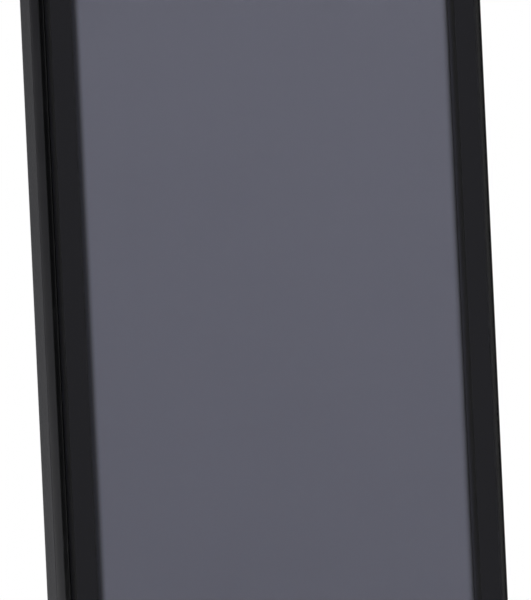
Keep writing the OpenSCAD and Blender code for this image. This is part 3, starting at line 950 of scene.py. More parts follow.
def turned(section: Points, closed: bool, steps: int = ROUND_STEPS) -> Shape:
    """A section of (radius, height) turned about the out axis.

    Args:
        section: The rows, from one end on the axis to the other, or a loop clear of it.
        closed: Whether the section is a loop.
        steps: The number of steps in a full turn.

    Returns:
        The shape; an open section's ends on the axis are shut by a fan.
    """
    angle = np.arange(steps) * (2 * math.pi / steps)
    ring = np.stack([np.cos(angle), np.sin(angle)], axis=1)
    rows = section if closed else section[(section[:, 0] > 0)]
    points = at_heights(rows[:, 0][:, None, None] * ring[None], rows[:, 1])
    faces = grid_faces(len(rows), steps, closed)
    if closed:
        return Shape(points, faces)
    first, last = len(points), len(points) + 1
    poles = np.array([[0.0, 0.0, section[0, 1]], [0.0, 0.0, section[-1, 1]]])
    start = (len(rows) - 1) * steps
    faces += [(first, (i + 1) % steps, i) for i in range(steps)]
    faces += [(last, start + i, start + (i + 1) % steps) for i in range(steps)]
    return Shape(np.concatenate([points, poles]), faces)


def prism(outline: RoundRect, low: float, high: float, corner_steps: int = 10) -> Shape:
    """A rounded rectangle pushed straight out from one height to another."""
    return carried(outline, np.array([[0.0, low], [0.0, high]]), False, corner_steps)


def drill(radius: float, steps: int = ROUND_STEPS, reach: float = 2 * MM) -> Shape:
    """A round cutter on the out axis, with the same reach to both sides of nought."""
    return turned(np.array([[0, -reach], [radius, -reach], [radius, reach], [0, reach]]), False, steps)


def lattice(across: Points, along: Points) -> Points:
    """Offsets on every crossing of two rows of values."""
    first, second = np.meshgrid(across, along)
    return np.stack([first.ravel(), second.ravel(), np.zeros(first.size)], axis=1)


def strip(across: tuple[float, float], along: tuple[float, float], out: tuple[float, float]) -> Shape:
    """A small flat bar with softened corners, between two values on each axis."""
    width, height = across[1] - across[0], along[1] - along[0]
    rect = RoundRect(width, height, min(width, height) * 0.2, sum(across) / 2, sum(along) / 2)
    edge = min(width, height, out[1] - out[0]) * 0.15
    inner = rect.radius * 0.9
    corners = [(inner, out[0], 0), (0, out[0], edge), (0, out[1], edge), (inner, out[1], 0)]
    return carried(rect, filleted(corners, False, steps=3, guard=edge * 0.3), False, corner_steps=4)


def volume_of(points: Points, faces: Faces) -> float:
    """The signed volume inside faces, each cut into a fan of triangles."""
    total = 0.0
    for size in {len(face) for face in faces}:
        group = points[np.array([face for face in faces if len(face) == size])]
        for k in range(1, size - 1):
            total += float(np.sum(group[:, 0] * np.cross(group[:, k], group[:, k + 1])))
    return total / 6


def made_mesh(name: str, shape: Shape, plane: Plane) -> bpy.types.Mesh:
    """Lays a shape on world axes and makes a mesh whose faces point outwards.

    Args:
        name: The mesh's name.
        shape: The local shape.
        plane: The world axes that it lies on.

    Returns:
        The mesh, shaded smooth but for its real corners.
    """
    world = np.empty_like(shape.points)
    for local, axis in enumerate(plane.value):
        world[:, axis] = shape.points[:, local]
    faces = shape.faces
    if volume_of(world, faces) < 0:
        faces = [face[::-1] for face in faces]
    mesh = bpy.data.meshes.new(name)
    mesh.from_pydata(world.tolist(), [], faces)
    smooth_but_corners(mesh)
    return mesh


def smooth_but_corners(mesh: bpy.types.Mesh, corner: float = math.radians(32)) -> None:
    """Shades a mesh smooth, and keeps edges sharper than an angle as corners."""
    mesh.shade_smooth()
    mesh.set_sharp_from_angle(angle=corner)
    mesh.update()


def finished(
    name: str, mesh: bpy.types.Mesh, finish: Finish, stands_for: Sequence[str], body: Body
) -> bpy.types.Object:
    """Puts a mesh in the scene as a piece.

    Args:
        name: The piece's name.
        mesh: Its mesh.
        finish: What it is made of.
        stands_for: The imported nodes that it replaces.
        body: The body that it rides on.

    Returns:
        The object.
    """
    made = bpy.data.objects.new(name, mesh)
    bpy.context.scene.collection.objects.link(made)
    mesh.materials.clear()
    mesh.materials.append(finish.material())
    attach(made, body.value)
    if stands_for:
        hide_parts(*stands_for)
    log.info("%s: %d faces on %s", name, len(mesh.polygons), body.value)
    return made


def piece(
    name: str,
    shape: Shape,
    plane: Plane,
    finish: Finish,
    stands_for: Sequence[str] = (),
    body: Body = Body.HANDSET,
) -> bpy.types.Object:
    """Makes a finished piece from a local shape laid on a plane's axes."""
    return finished(name, made_mesh(name, shape, plane), finish, stands_for, body)


def cut_away(
    target: bpy.types.Object, cutters: Iterable[tuple[Shape, Plane]], operation: str = "DIFFERENCE"
) -> None:
    """Cuts shapes out of a piece and keeps the result as its mesh.

    Args:
        target: The piece to cut.
        cutters: The shapes, each with the plane that it lies on.
        operation: "INTERSECT" keeps what lies inside the shapes, and "UNION" adds them.
    """
    tools = []
    for number, (shape, plane) in enumerate(cutters):
        tool = bpy.data.objects.new(f"cutter_{number}", made_mesh("cutter", shape, plane))
        bpy.context.scene.collection.objects.link(tool)
        step = target.modifiers.new("cut", "BOOLEAN")
        step.operation, step.solver, step.object = operation, "EXACT", tool
        tools.append(tool)
    bpy.context.view_layer.update()
    settled = bpy.data.meshes.new_from_object(target.evaluated_get(bpy.context.evaluated_depsgraph_get()))
    target.modifiers.clear()
    target.data = settled
    for tool in tools:
        bpy.data.objects.remove(tool)
    smooth_but_corners(settled)
    log.info("%s: cut, %d faces", target.name, len(settled.polygons))


def copy_of(
    node: str, name: str, finish: Finish, body: Body, replaces: bool = False, edge: float = 0.0
) -> bpy.types.Object:
    """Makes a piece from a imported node's own mesh, welded, with its edges rounded if asked.

    Args:
        node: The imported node.
        name: The piece's name.
        finish: What it is made of.
        body: The body that it rides on.
        replaces: Whether it stands for the node.
        edge: The radius of its rounded edges.

    Returns:
        The object.
    """
    mesh = frame["nodes"][node].data.copy()
    mesh.name = name
    welded = bmesh.new()
    welded.from_mesh(mesh)
    bmesh.ops.remove_doubles(welded, verts=welded.verts, dist=0.001 * MM)
    bmesh.ops.dissolve_limit(welded, angle_limit=math.radians(0.5), verts=welded.verts, edges=welded.edges)
    welded.to_mesh(mesh)
    welded.free()
    made = finished(name, mesh, finish, [node] if replaces else [], body)
    if edge > 0:
        bevel = made.modifiers.new("edges", "BEVEL")
        bevel.width, bevel.segments, bevel.angle_limit = edge, 3, math.radians(50)
        bevel.harden_normals = True
    smooth_but_corners(mesh)
    return made


def dress(node: str, finish: Finish) -> None:
    """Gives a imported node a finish."""
    slots = frame["nodes"][node].data.materials
    slots.clear()
    slots.append(finish.material())


def span(node: str) -> tuple[Vector, Vector]:
    """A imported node's lowest and highest corners at rest."""
    low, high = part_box(node)
    return Vector(low), Vector(high)


def middle_of(node: str) -> Vector:
    """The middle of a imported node's box."""
    low, high = span(node)
    return (low + high) / 2


def face_of(node: str, plane: Plane) -> RoundRect:
    """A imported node's box as a square-cornered rectangle on a plane's first two axes."""
    (across, along, _), (low, high) = plane.value, span(node)
    width, height = high[across] - low[across], high[along] - low[along]
    return RoundRect(width, height, 0.0, (low[across] + high[across]) / 2, (low[along] + high[along]) / 2)


def headphone_bore() -> Mapping[str, Any]:
    """The record's mount for the headphone plug."""
    return next(mount for mount in frame["record"]["mounts"] if mount["name"] == "headphone_bore")


# ---------------------------------------------------------------- sub-assemblies


@dataclass
class Case:
    """The sizes that all shells share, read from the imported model."""

    low: Vector = field(default_factory=lambda: span("mid_frame")[0])
    high: Vector = field(default_factory=lambda: span("mid_frame")[1])
    back: float = field(default_factory=lambda: span("rear_cover")[1].y)
    corner: float = 9.0 * MM
    back_roll: float = 2.0 * MM
    side_wall: float = 1.2 * MM
    back_wall: float = 0.7 * MM
    crown: float = 0.36 * MM

    def inset(self, depth: float) -> RoundRect:
        """The body's outline seen from the front, moved inwards by a depth."""
        width, height = self.high.x - self.low.x, self.high.z - self.low.z
        return RoundRect(width, height, self.corner, 0.0, (self.high.z + self.low.z) / 2).grown(-depth)


@dataclass
class ScreenStack:
    """The cover glass and what shows through it: mask, sensor film and display."""

    case: Case
    glass_edge: float = 0.10 * MM
    fall_width: float = 0.8 * MM
    fall_depth: float = 0.13 * MM
    fall_steps: int = 8
    air: float = 0.02 * MM
    back_edge: float = 0.06 * MM
    cell_side: float = 1.6 * MM
    cell_foot: float = 4.0 * MM
    window_corner: float = 0.1 * MM
    film_corner: float = 0.2 * MM
    slot_rim: float = 0.1 * MM
    print_holes: tuple[tuple[str, float, float], ...] = (
        ("front_camera", 3.4 * MM, 3.4 * MM),
        ("proximity_sensor", 4.1 * MM, 1.5 * MM),
        ("notification_led", 1.2 * MM, 1.2 * MM),
    )

    def window(self) -> RoundRect:
        """The picture area."""
        low, high = span("display_panel")
        left, right = low.x + self.cell_side, high.x - self.cell_side
        bottom, top = low.z + self.cell_foot, high.z - self.cell_side
        return RoundRect(
            right - left, top - bottom, self.window_corner, (left + right) / 2, (bottom + top) / 2
        )

    def sensor_openings(self) -> tuple[RoundRect, ...]:
        """The print's openings over the front camera, the sensor's two lenses and the light."""
        places = [(middle_of(node), width, height) for node, width, height in self.print_holes]
        return tuple(RoundRect(width, height, height / 2, at.x, at.z) for at, width, height in places)

    def build(self) -> None:
        """Makes the glass with its polished edge and earpiece slot, and dresses the layers.

        Towards its edge the glass falls away by the square of the distance past the fall's start.
        """
        low, high = span("cover_glass")
        rect = self.case.inset(low.x - self.case.low.x)
        middle, back = rect.radius * NEAR_CENTRE, high.y - self.air
        share = np.linspace(0.0, 1.0, self.fall_steps + 1)
        fall = [(self.fall_width * (1 - t), low.y + self.fall_depth * t * t, 0) for t in share]
        fall[-1] = (*fall[-1][:2], self.glass_edge)
        flat = [(middle, low.y, 0), (self.fall_width + 0.1 * MM, low.y, 0)]
        section = filleted([*flat, *fall, (0, back, self.back_edge), (middle, back, 0)], False, steps=6)
        printed = PrintedZone(rect, self.window(), self.sensor_openings(), self.fall_width)
        pane = ClearPane("front_pane", printed=printed)
        glass = piece(
            "front_glass", carried(rect, section, False), Plane.FRONT, pane, ["cover_glass"]
        )
        slot = face_of("earpiece_mesh", Plane.FRONT).grown(self.slot_rim)
        slot = slot.rounded(slot.height / 2 * NEAR_CENTRE)
        cut_away(glass, [(prism(slot, low.y - MM, high.y + MM), Plane.FRONT)])
        dress("mask_border", DarkFilm("mask_film", window=self.window()))
        self.touch_film()
        dress("display_panel", DisplayCell("display_cell", window=self.window()))

    def touch_film(self) -> None:
        """The clear sensor film: a sheet a hair in front of the cell, and the step that fills the window."""
        low, high = span("touch_sensor")
        front = span("mask_border")[1].y
        sheet = face_of("touch_sensor", Plane.FRONT).rounded(self.film_corner)
        step = replace(self.window(), across=0.0, along=sheet.along)
        film = piece(
            "touch_film", prism(sheet, front, high.y - self.air, 3), Plane.FRONT,
            SensorFilm("sensor_film"), ["touch_sensor"],
        )
        cut_away(film, [(prism(step, low.y, (front + high.y) / 2, 3), Plane.FRONT)], "UNION")


@dataclass
class BezelRing:
    """The gloss-black ring round the glass, with the ledge that the glass rests on."""

    case: Case
    roll: float = 0.22 * MM
    brow: tuple[float, float] = (0.22 * MM, 0.20 * MM)
    cheek: float = 0.58 * MM
    small_edge: float = 0.04 * MM
    ledge: float = 2.2 * MM
    glass_gap: float = 0.1 * MM
    step: float = 0.05 * MM
    shelf_gap: float = 0.25 * MM

    def build(self) -> None:
        """Carries the ring's section round the body's outline."""
        low, high = span("front_ring")
        glass_low, glass_high = span("cover_glass")
        wall = glass_low.x - self.case.low.x - self.glass_gap
        foot, outer = wall - self.step, self.case.crown
        seam = self.case.low.y - HIDDEN_FACE_DEPTH
        shelf = glass_high.y + self.shelf_gap
        face = [
            (wall, low.y, self.small_edge),
            (outer + self.brow[0], low.y + self.brow[1], self.roll),
            (outer, low.y + self.cheek, self.roll),
            (outer, seam, self.small_edge),
        ]
        inside = [(foot, seam), (foot, high.y), (self.ledge, high.y), (self.ledge, shelf), (wall, shelf)]
        section = filleted([*face, *((*at, 0) for at in inside)], True, steps=9, guard=FINE_GUARD)
        piece(
            "bezel_ring", carried(self.case.inset(0.0), section, True), Plane.FRONT,
            PianoBlack("piano_black"), ["front_ring"],
        )


@dataclass
class SideBand:
    """The satin band round the sides between the bezel ring and the rear cover, and its plate."""

    case: Case
    edge: float = 0.07 * MM
    wall: float = 1.4 * MM
    guard: float = 0.01 * MM
    crown_steps: int = 8
    plate_rise: float = 0.35 * MM
    plate_depth: float = 3.0 * MM

    def build(self) -> None:
        """Carries a crowned strip round the outline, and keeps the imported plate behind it.

        The strip's inset grows with the square of the distance from its rear edge.
        """
        front, seam = self.case.low.y, span("rear_cover")[0].y - HIDDEN_FACE_DEPTH
        share = np.linspace(0.0, 1.0, self.crown_steps + 1)
        crown = [(self.case.crown * t * t, seam + (front - seam) * t, 0) for t in share]
        for end in (0, -1):
            crown[end] = (*crown[end][:2], self.edge)
        inner = self.wall * 0.8
        section = filleted([(inner, seam, 0), *crown, (inner, front, 0)], True, guard=self.guard)
        finish = SatinCoat("band_satin", colour=(0.0090, 0.0087, 0.0125), roughness=0.32)
        strip_shape = carried(self.case.inset(0.0), section, True)
        piece("side_band", strip_shape, Plane.FRONT, finish, ["mid_frame"])
        plate = copy_of("mid_frame", "mid_plate", finish, Body.HANDSET)
        keep = prism(self.case.inset(self.wall * 0.7), seam - self.plate_rise, seam + self.plate_depth)
        cut_away(plate, [(keep, Plane.FRONT)], "INTERSECT")


@dataclass
class BackShell:
    """The rear cover: a shallow shell with its holes."""

    case: Case
    seam_edge: float = 0.10 * MM
    inner_edge: float = 0.05 * MM
    gap: float = 0.14 * MM
    hole_rim: float = 0.05 * MM
    sound_pitch: float = 1.5 * MM
    sound_radius: float = 0.45 * MM
    jack_radius: float = 2.25 * MM
    port_radius: float = 0.5 * MM
    socket_rim: float = 0.1 * MM
    socket_corner: float = 0.8 * MM

    def build(self) -> None:
        """Carries the shell's section round, then cuts each hole where its part comes through."""
        low, high = span("rear_cover")
        case = self.case
        inner, middle = case.back - case.back_wall, case.corner * NEAR_CENTRE
        outside = [(middle, high.y, 0), (0, high.y, case.back_roll), (0, low.y, self.seam_edge)]
        inside = [
            (case.side_wall, low.y, self.inner_edge),
            (case.side_wall, inner, case.back_roll - case.back_wall),
            (middle, inner, 0),
        ]
        section = filleted([*outside, *inside], False, steps=14)
        shape = carried(case.inset(0.0), section, False, corner_steps=28)
        shell = piece(
            "back_shell", shape, Plane.FRONT, SoftTouch("cover_soft"), ["rear_cover"]
        )
        cut_away(shell, self.openings())

    def openings(self) -> list[tuple[Shape, Plane]]:
        """The tools that cut the cover's holes, each placed by the part that it clears."""
        case, deep = self.case, 2 * self.case.side_wall
        tools = [(self.round_hole(node), Plane.FRONT) for node in ("camera_ring", "flash_lens")]
        tools.append((self.sound_holes(), Plane.FRONT))
        for fitting in SIDE_FITTINGS.values():
            rect = fitting(case).rect.grown(self.gap)
            tools.append((prism(rect, case.high.x - deep, case.high.x + MM), Plane.SIDE))
        across, along, _ = headphone_bore()["pos_m"]
        tools.append((drill(self.jack_radius).moved((across, along, case.high.z)), Plane.END))
        socket = face_of("usb_connector", Plane.END).grown(self.socket_rim).rounded(self.socket_corner)
        tools.append((prism(socket, case.low.z - MM, case.low.z + deep), Plane.END))
        level = middle_of("power_key").y
        for node, height in (("bottom_microphone", case.low.z), ("top_microphone", case.high.z)):
            port = drill(self.port_radius, 24).moved((middle_of(node).x, level, height))
            tools.append((port, Plane.END))
        return tools

    def round_hole(self, node: str) -> Shape:
        """A round hole through the back, round a node."""
        at = middle_of(node)
        radius = face_of(node, Plane.FRONT).width / 2 + self.hole_rim
        return drill(radius).moved((at.x, at.z, self.case.back))

    def sound_holes(self) -> Shape:
        """Three rows of nine small holes over the loudspeaker's mesh."""
        at = middle_of("speaker_mesh")
        offsets = lattice(np.arange(-4, 5) * self.sound_pitch, np.arange(-1, 2) * self.sound_pitch)
        return drill(self.sound_radius, 20).repeated(offsets + np.array((at.x, at.z, self.case.back)))


@dataclass
class Cap:
    """A cap that comes through the side wall: its outline and the heights it spans."""

    rect: RoundRect
    inner: float
    outer: float
    edge: float
    flat_start: float = 0.96

    def shape(self) -> Shape:
        """The cap with a rounded outer edge."""
        middle = self.rect.radius * self.flat_start
        corners = [
            (middle, self.inner, 0), (0, self.inner, 0), (0, self.outer, self.edge), (middle, self.outer, 0)
        ]
        return carried(self.rect, filleted(corners, False, steps=6), False, corner_steps=12)


def key_cap(node: str, case: Case) -> Cap:
    """A side key's cap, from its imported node's box less the flange behind the wall.

    Args:
        node: The key's node.
        case: The shells' shared sizes.

    Returns:
        The cap.
    """
    flange_ends, flange_sides, reach, edge = 0.6 * MM, 0.3 * MM, 0.3 * MM, 0.22 * MM
    whole = face_of(node, Plane.SIDE)
    width, height = whole.width - 2 * flange_sides, whole.height - 2 * flange_ends
    rect = replace(whole, width=width, height=height, radius=width * 0.47)
    return Cap(rect, case.high.x - case.side_wall - reach, span(node)[1].x, edge)


def tray_door(case: Case) -> Cap:
    """The card tray's door, flush with the side wall."""
    rect, outer = face_of("sim_tray", Plane.SIDE), span("sim_tray")[1].x
    gap, edge = 0.05 * MM, 0.10 * MM
    return Cap(rect.rounded(rect.width * 0.42), outer - case.side_wall + gap, outer, edge)


SIDE_FITTINGS: dict[str, Callable[[Case], Cap]] = {
    "power_key": lambda case: key_cap("power_key", case),
    "volume_rocker": lambda case: key_cap("volume_rocker", case),
    "sim_tray": tray_door,
}


@dataclass
class SideKeys:
    """The power key and the volume rocker: anodised caps on flanges behind the wall."""

    case: Case
    flange: float = 0.45 * MM
    flange_corner: float = 0.4 * MM

    def build(self) -> None:
        """Makes each cap with its flange."""
        finish = BrushedMetal("key_anodised", colour=(0.16, 0.16, 0.17), roughness=0.36, metal=0.85)
        for body in (Body.POWER_KEY, Body.VOLUME_ROCKER):
            node = body.value
            cap = key_cap(node, self.case)
            plate = face_of(node, Plane.SIDE).rounded(self.flange_corner)
            shape = cap.shape().joined(prism(plate, cap.inner - self.flange, cap.inner))
            piece(f"{node}_cap", shape, Plane.SIDE, finish, [node], body)


@dataclass
class CardTray:
    """The sliding card tray: its door, frame and card."""

    edge: float = 0.07 * MM
    pad: tuple[float, float] = (2.4 * MM, 1.7 * MM)
    pad_rise: float = 0.02 * MM
    pad_depth: float = 0.03 * MM
    pitch: tuple[float, float] = (4.6 * MM, 2.15 * MM)
    first_pad: tuple[float, float] = (3.4 * MM, 1.95 * MM)

    def build(self) -> None:
        """Rounds the tray's edges and puts eight gilt contacts on its card, on the reader's side."""
        finish = SatinCoat("tray_satin", colour=(0.0160, 0.0156, 0.0210), roughness=0.42)
        copy_of("sim_tray", "tray_body", finish, Body.CARD_TRAY, True, self.edge)
        dress("sim_card", PlainMoulding("card_plastic", colour=(0.72, 0.71, 0.67), roughness=0.35))
        low, _ = span("sim_card")
        pad = strip((0, self.pad[0]), (0, self.pad[1]), (0, self.pad_depth))
        corner = np.array([low.x + self.first_pad[0], low.z + self.first_pad[1], low.y - self.pad_rise])
        offsets = lattice(np.arange(2) * self.pitch[0], np.arange(4) * self.pitch[1]) + corner
        piece("card_pads", pad.repeated(offsets), Plane.FRONT, GILT, (), Body.CARD_TRAY)


@dataclass
class RearCamera:
    """Ring, window, printed iris, barrel and front element of the rear camera, and the lamp."""

    pane_gap: float = 0.05 * MM
    lip_rise: float = 0.04 * MM
    bevel: float = 0.34 * MM
    ring_edges: tuple[float, float, float] = (0.10 * MM, 0.05 * MM, 0.03 * MM)
    pane_edges: tuple[float, float] = (0.03 * MM, 0.06 * MM)
    iris_radius: float = 2.35 * MM
    iris_depths: tuple[float, float] = (0.06 * MM, 0.01 * MM)
    bore: float = 2.45 * MM
    bore_steps: int = 5
    drop: float = 0.13 * MM
    run: float = 0.16 * MM
    element_radius: float = 1.55 * MM
    element_rise: float = 0.42 * MM
    lamp_rings: int = 5
    lamp_tooth: float = 0.09 * MM
    lamp_rim: float = 0.15 * MM
    lamp_eye: float = 0.35 * MM

    def build(self) -> None:
        """Turns each round part about the camera's axis."""
        self.ring_and_window()
        self.barrel()
        self.lamp()

    def ring_and_window(self) -> None:
        """The metal ring with a bevelled inner lip, the window, and the black iris under it."""
        at = middle_of("camera_ring")
        place = (at.x, at.z, 0)
        low, high = span("camera_ring")
        glass_low, glass_high = span("camera_window")
        radius = (glass_high.x - glass_low.x) / 2
        outer, inner = (high.x - low.x) / 2, radius + self.pane_gap
        corners = [
            (inner, low.y, 0),
            (outer, low.y, 0),
            (outer, high.y, self.ring_edges[0]),
            (inner + self.bevel, high.y, self.ring_edges[1]),
            (inner, glass_high.y + self.lip_rise, self.ring_edges[2]),
        ]
        ring = turned(filleted(corners, True, guard=FINE_GUARD), True, 128).moved(place)
        finish = TurnedMetal("ring_turned", middle=(at.x, 0.0, at.z))
        piece("lens_ring", ring, Plane.FRONT, finish, ["camera_ring"])
        bottom = [(0, glass_low.y, 0), (radius, glass_low.y, self.pane_edges[0])]
        top = [(radius, glass_high.y, self.pane_edges[1]), (0, glass_high.y, 0)]
        pane = turned(filleted([*bottom, *top], False, steps=4), False, 96).moved(place)
        clear = ClearPane("window_pane", smudge=0.01)
        piece("lens_window", pane, Plane.FRONT, clear, ["camera_window"])
        deep, shallow = (glass_low.y - depth for depth in self.iris_depths)
        rows = [(self.iris_radius, deep), (radius, deep), (radius, shallow), (self.iris_radius, shallow)]
        iris = turned(np.array(rows), True, 96).moved(place)
        piece("window_iris", iris, Plane.FRONT, PianoBlack("iris_black", roughness=0.22))

    def barrel(self) -> None:
        """The focus barrel with stepped anti-glare rings, and its domed front element."""
        at = middle_of("lens_barrel")
        place = (at.x, at.z, 0)
        low, high = span("lens_barrel")
        outer = (high.x - low.x) / 2
        rows = [(0.0, low.y), (outer, low.y), (outer, high.y), (self.bore, high.y)]
        for number in range(self.bore_steps):
            radius, height = self.bore - self.run * number, high.y - self.drop * (number + 1)
            rows += [(radius, height), (radius - self.run, height)]
        floor = high.y - self.drop * self.bore_steps
        rows.append((0.0, floor))
        finish = PlainMoulding(
            "barrel_moulding", colour=(0.012, 0.012, 0.013), roughness=0.42, grain=0.06 * MM
        )
        barrel = turned(np.array(rows), False, 96).moved(place)
        piece("focus_barrel", barrel, Plane.FRONT, finish, ["lens_barrel"], Body.FOCUS_LENS)
        foot = floor + 0.01 * MM
        angle = np.linspace(math.pi / 2, 0.0, 14)
        dome = np.stack(
            [self.element_radius * np.cos(angle), foot + self.element_rise * np.sin(angle)], axis=1
        )
        dome[0, 0] = 0.0
        base = np.array([[0.0, foot - 0.005 * MM]])
        element = turned(np.concatenate([dome, base]), False, 96).moved(place)
        coating = CoatedLens("lens_coating", middle=(at.x, 0.0, at.z))
        piece("front_element", element, Plane.FRONT, coating, (), Body.FOCUS_LENS)

    def lamp(self) -> None:
        """The lamp's lens, stepped into rings like a small lighthouse lens."""
        at = middle_of("flash_lens")
        low, high = span("flash_lens")
        radius, top = (high.x - low.x) / 2, high.y - 0.02 * MM
        rim = radius - self.lamp_rim
        step = (rim - self.lamp_eye) / self.lamp_rings
        rows = [(0.0, low.y), (radius, low.y), (radius, top), (rim, top)]
        for number in range(self.lamp_rings):
            outer = rim - step * number
            rows += [(outer - 0.02 * MM, top - self.lamp_tooth), (outer - step, top)]
        rows.append((0.0, top + 0.015 * MM))
        finish = ClearMoulding("lamp_acrylic", colour=(0.80, 0.78, 0.62), roughness=0.08)
        lens = turned(np.array(rows), False, 64).moved((at.x, at.z, 0))
        piece("lamp_lens", lens, Plane.FRONT, finish, ["flash_lens"])


@dataclass
class FrontSensors:
    """The front camera's lens and the dark lenses of the sensor, behind the mask's holes."""

    rim: float = 1.05 * MM
    levels: tuple[float, float, float] = (0.40 * MM, 0.24 * MM, 0.18 * MM)

    def build(self) -> None:
        """Makes the camera's stepped nose and dome, and dresses the rest."""
        at, front = middle_of("front_camera"), span("front_camera")[0].y + 0.02 * MM
        back, step, rise = self.levels
        rows = [(0.0, back), (self.rim, back), (self.rim, step), (self.rim * 0.8, step)]
        angle = np.linspace(0.0, math.pi / 2, 10)
        dome = np.stack([self.rim * 0.72 * np.cos(angle), step - rise * np.sin(angle)], axis=1)
        dome[-1, 0] = 0.0
        section = np.concatenate([np.array(rows), dome]) + np.array([0.0, front])
        coating = CoatedLens("selfie_coating", middle=(at.x, 0.0, at.z), reach=0.9 * MM)
        element = turned(section, False, 48).moved((at.x, at.z, 0))
        piece("selfie_element", element, Plane.FRONT, coating)
        dress("front_camera", PlainMoulding("camera_moulding", colour=(0.014, 0.014, 0.015), roughness=0.45))
        dress("proximity_sensor", ClearMoulding("sensor_epoxy", colour=(0.03, 0.015, 0.04), roughness=0.15))
        dress("notification_led", ClearMoulding("light_pipe", colour=(0.55, 0.56, 0.56)))
        dress("earpiece_mesh", BrushedMetal("earpiece_steel", colour=(0.10, 0.10, 0.105), roughness=0.4))


@dataclass
class Sockets:
    """The headphone socket and the charging socket, with their contacts."""

    case: Case
    nose_wall: float = 0.4 * MM
    nose_edges: tuple[float, float] = (0.08 * MM, 0.14 * MM)
    shelf_gap: float = 0.9 * MM
    housing_corner: float = 0.3 * MM
    sleeve_reach: tuple[float, float] = (3.2 * MM, 0.9 * MM)
    sleeve_radii: tuple[float, float] = (0.06 * MM, 0.01 * MM)
    contact_pitch: float = 0.65 * MM
    contact_width: float = 0.38 * MM
    contact_level: float = 0.15 * MM
    contact_faces: tuple[float, float] = (-0.04 * MM, 0.02 * MM)
    contact_reach: tuple[float, float] = (0.2 * MM, 3.0 * MM)

    def build(self) -> None:
        """Makes the round nose with its bore, and the charging socket's contact strips."""
        self.headphone()
        self.charging()

    def headphone(self) -> None:
        """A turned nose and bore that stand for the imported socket, on its housing."""
        mount = headphone_bore()
        place = (*mount["pos_m"][:2], 0)
        bore, length = mount["dims"]["r_mm"] * MM, mount["dims"]["length_mm"] * MM
        low, high = span("headphone_jack")
        outer, foot = bore + self.nose_wall, high.z - length
        outer_edge, mouth = self.nose_edges
        corners = [(bore, foot, 0), (outer, foot, 0), (outer, high.z, outer_edge), (bore, high.z, mouth)]
        finish = PlainMoulding("socket_moulding", colour=(0.016, 0.016, 0.017), roughness=0.38)
        housing = prism(
            face_of("headphone_jack", Plane.END).rounded(self.housing_corner), low.z,
            self.case.high.z - self.case.side_wall - self.shelf_gap,
        )
        made = piece("headphone_housing", housing, Plane.END, finish, ["headphone_jack"])
        inner = outer - 0.01 * MM
        shaft = np.array([[0, foot], [inner, foot], [inner, high.z + MM], [0, high.z + MM]])
        cut_away(made, [(turned(shaft, False).moved(place), Plane.END)])
        nose = turned(filleted(corners, True, steps=6), True, 96).moved(place)
        piece("headphone_nose", nose, Plane.END, finish)
        near, far = bore - self.sleeve_radii[0], bore + self.sleeve_radii[1]
        bottom, top = (high.z - reach for reach in self.sleeve_reach)
        ring = np.array([[near, bottom], [far, bottom], [far, top], [near, top]])
        piece("headphone_sleeve", turned(ring, True, 64).moved(place), Plane.END, GILT)

    def charging(self) -> None:
        """Five gilt strips on the tongue of the charging socket."""
        at, foot = middle_of("usb_connector"), span("usb_tongue")[0].z
        top, half = at.y - self.contact_level, self.contact_width / 2
        near, far = (foot + reach for reach in self.contact_reach)
        faces = (top + self.contact_faces[0], top + self.contact_faces[1])
        one = strip((-half, half), faces, (near, far))
        offsets = lattice(at.x + np.arange(-2, 3) * self.contact_pitch, np.zeros(1))
        piece("usb_contacts", one.repeated(offsets), Plane.END, GILT)
        dress("usb_connector", BrushedMetal("socket_steel", colour=(0.58, 0.58, 0.60)))
        dress("usb_tongue", PlainMoulding("tongue_moulding", colour=(0.015, 0.015, 0.016)))


class Insides:
    """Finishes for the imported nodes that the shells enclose."""

    FINISHES: tuple[tuple[Finish, str], ...] = (
        (
            PlainMoulding("foam", colour=(0.018, 0.018, 0.02), roughness=0.8, grain=0.2 * MM),
            "glass_gasket speaker_gasket",
        ),
        (ClearMoulding("light_guide", colour=(0.82, 0.83, 0.83)), "backlight_unit key_switches"),
        (
            BrushedMetal("pressed_steel", colour=(0.56, 0.57, 0.59), roughness=0.36),
            "display_shield processor_shield radio_shield sim_reader key_bracket",
        ),
        (FoilRibbon("ribbon"), "display_flex board_flex key_strip"),
        (PlainMoulding("graphite_foil", colour=(0.05, 0.05, 0.055), roughness=0.3), "graphite_sheet"),
        (
            BrushedMetal(
                "plated_steel", colour=(0.62, 0.62, 0.64), roughness=0.24, stretch=(0.05, 1.0, 1.0)
            ),
            "frame_screws vibration_motor motor_shaft rocker_pin earpiece_receiver",
        ),
        (CircuitBoard("solder_mask"), "main_board sub_board battery_board camera_base"),
        (
            PlainMoulding("chip_epoxy", colour=(0.022, 0.022, 0.024), roughness=0.55, grain=0.05 * MM),
            "processor memory_chip power_chip radio_chip rear_camera",
        ),
        (GILT, "bottom_microphone top_microphone jack_contacts"),
        (PlainMoulding("sounder_moulding", colour=(0.03, 0.03, 0.033), roughness=0.5), "loudspeaker"),
        (WovenMesh("dust_cloth"), "speaker_mesh"),
        (
            BrushedMetal("copper_foil", colour=(0.72, 0.36, 0.22), roughness=0.34),
            "main_antenna wifi_antenna",
        ),
        (BrushedMetal("tungsten", colour=(0.33, 0.33, 0.34), roughness=0.5), "motor_weight"),
        (SatinCoat("pouch_wrap", colour=(0.02, 0.02, 0.023), roughness=0.3), "battery"),
        (PlainMoulding("tape", colour=(0.7, 0.69, 0.64), roughness=0.6), "battery_tape"),
        (ClearMoulding("phosphor", colour=(0.85, 0.72, 0.25), roughness=0.4), "flash_led"),
    )

    def build(self) -> None:
        """Dresses each node."""
        for finish, nodes in self.FINISHES:
            for node in nodes.split():
                dress(node, finish)
        log.info("insides: %d finishes", len(self.FINISHES))


# ---------------------------------------------------------------- studio


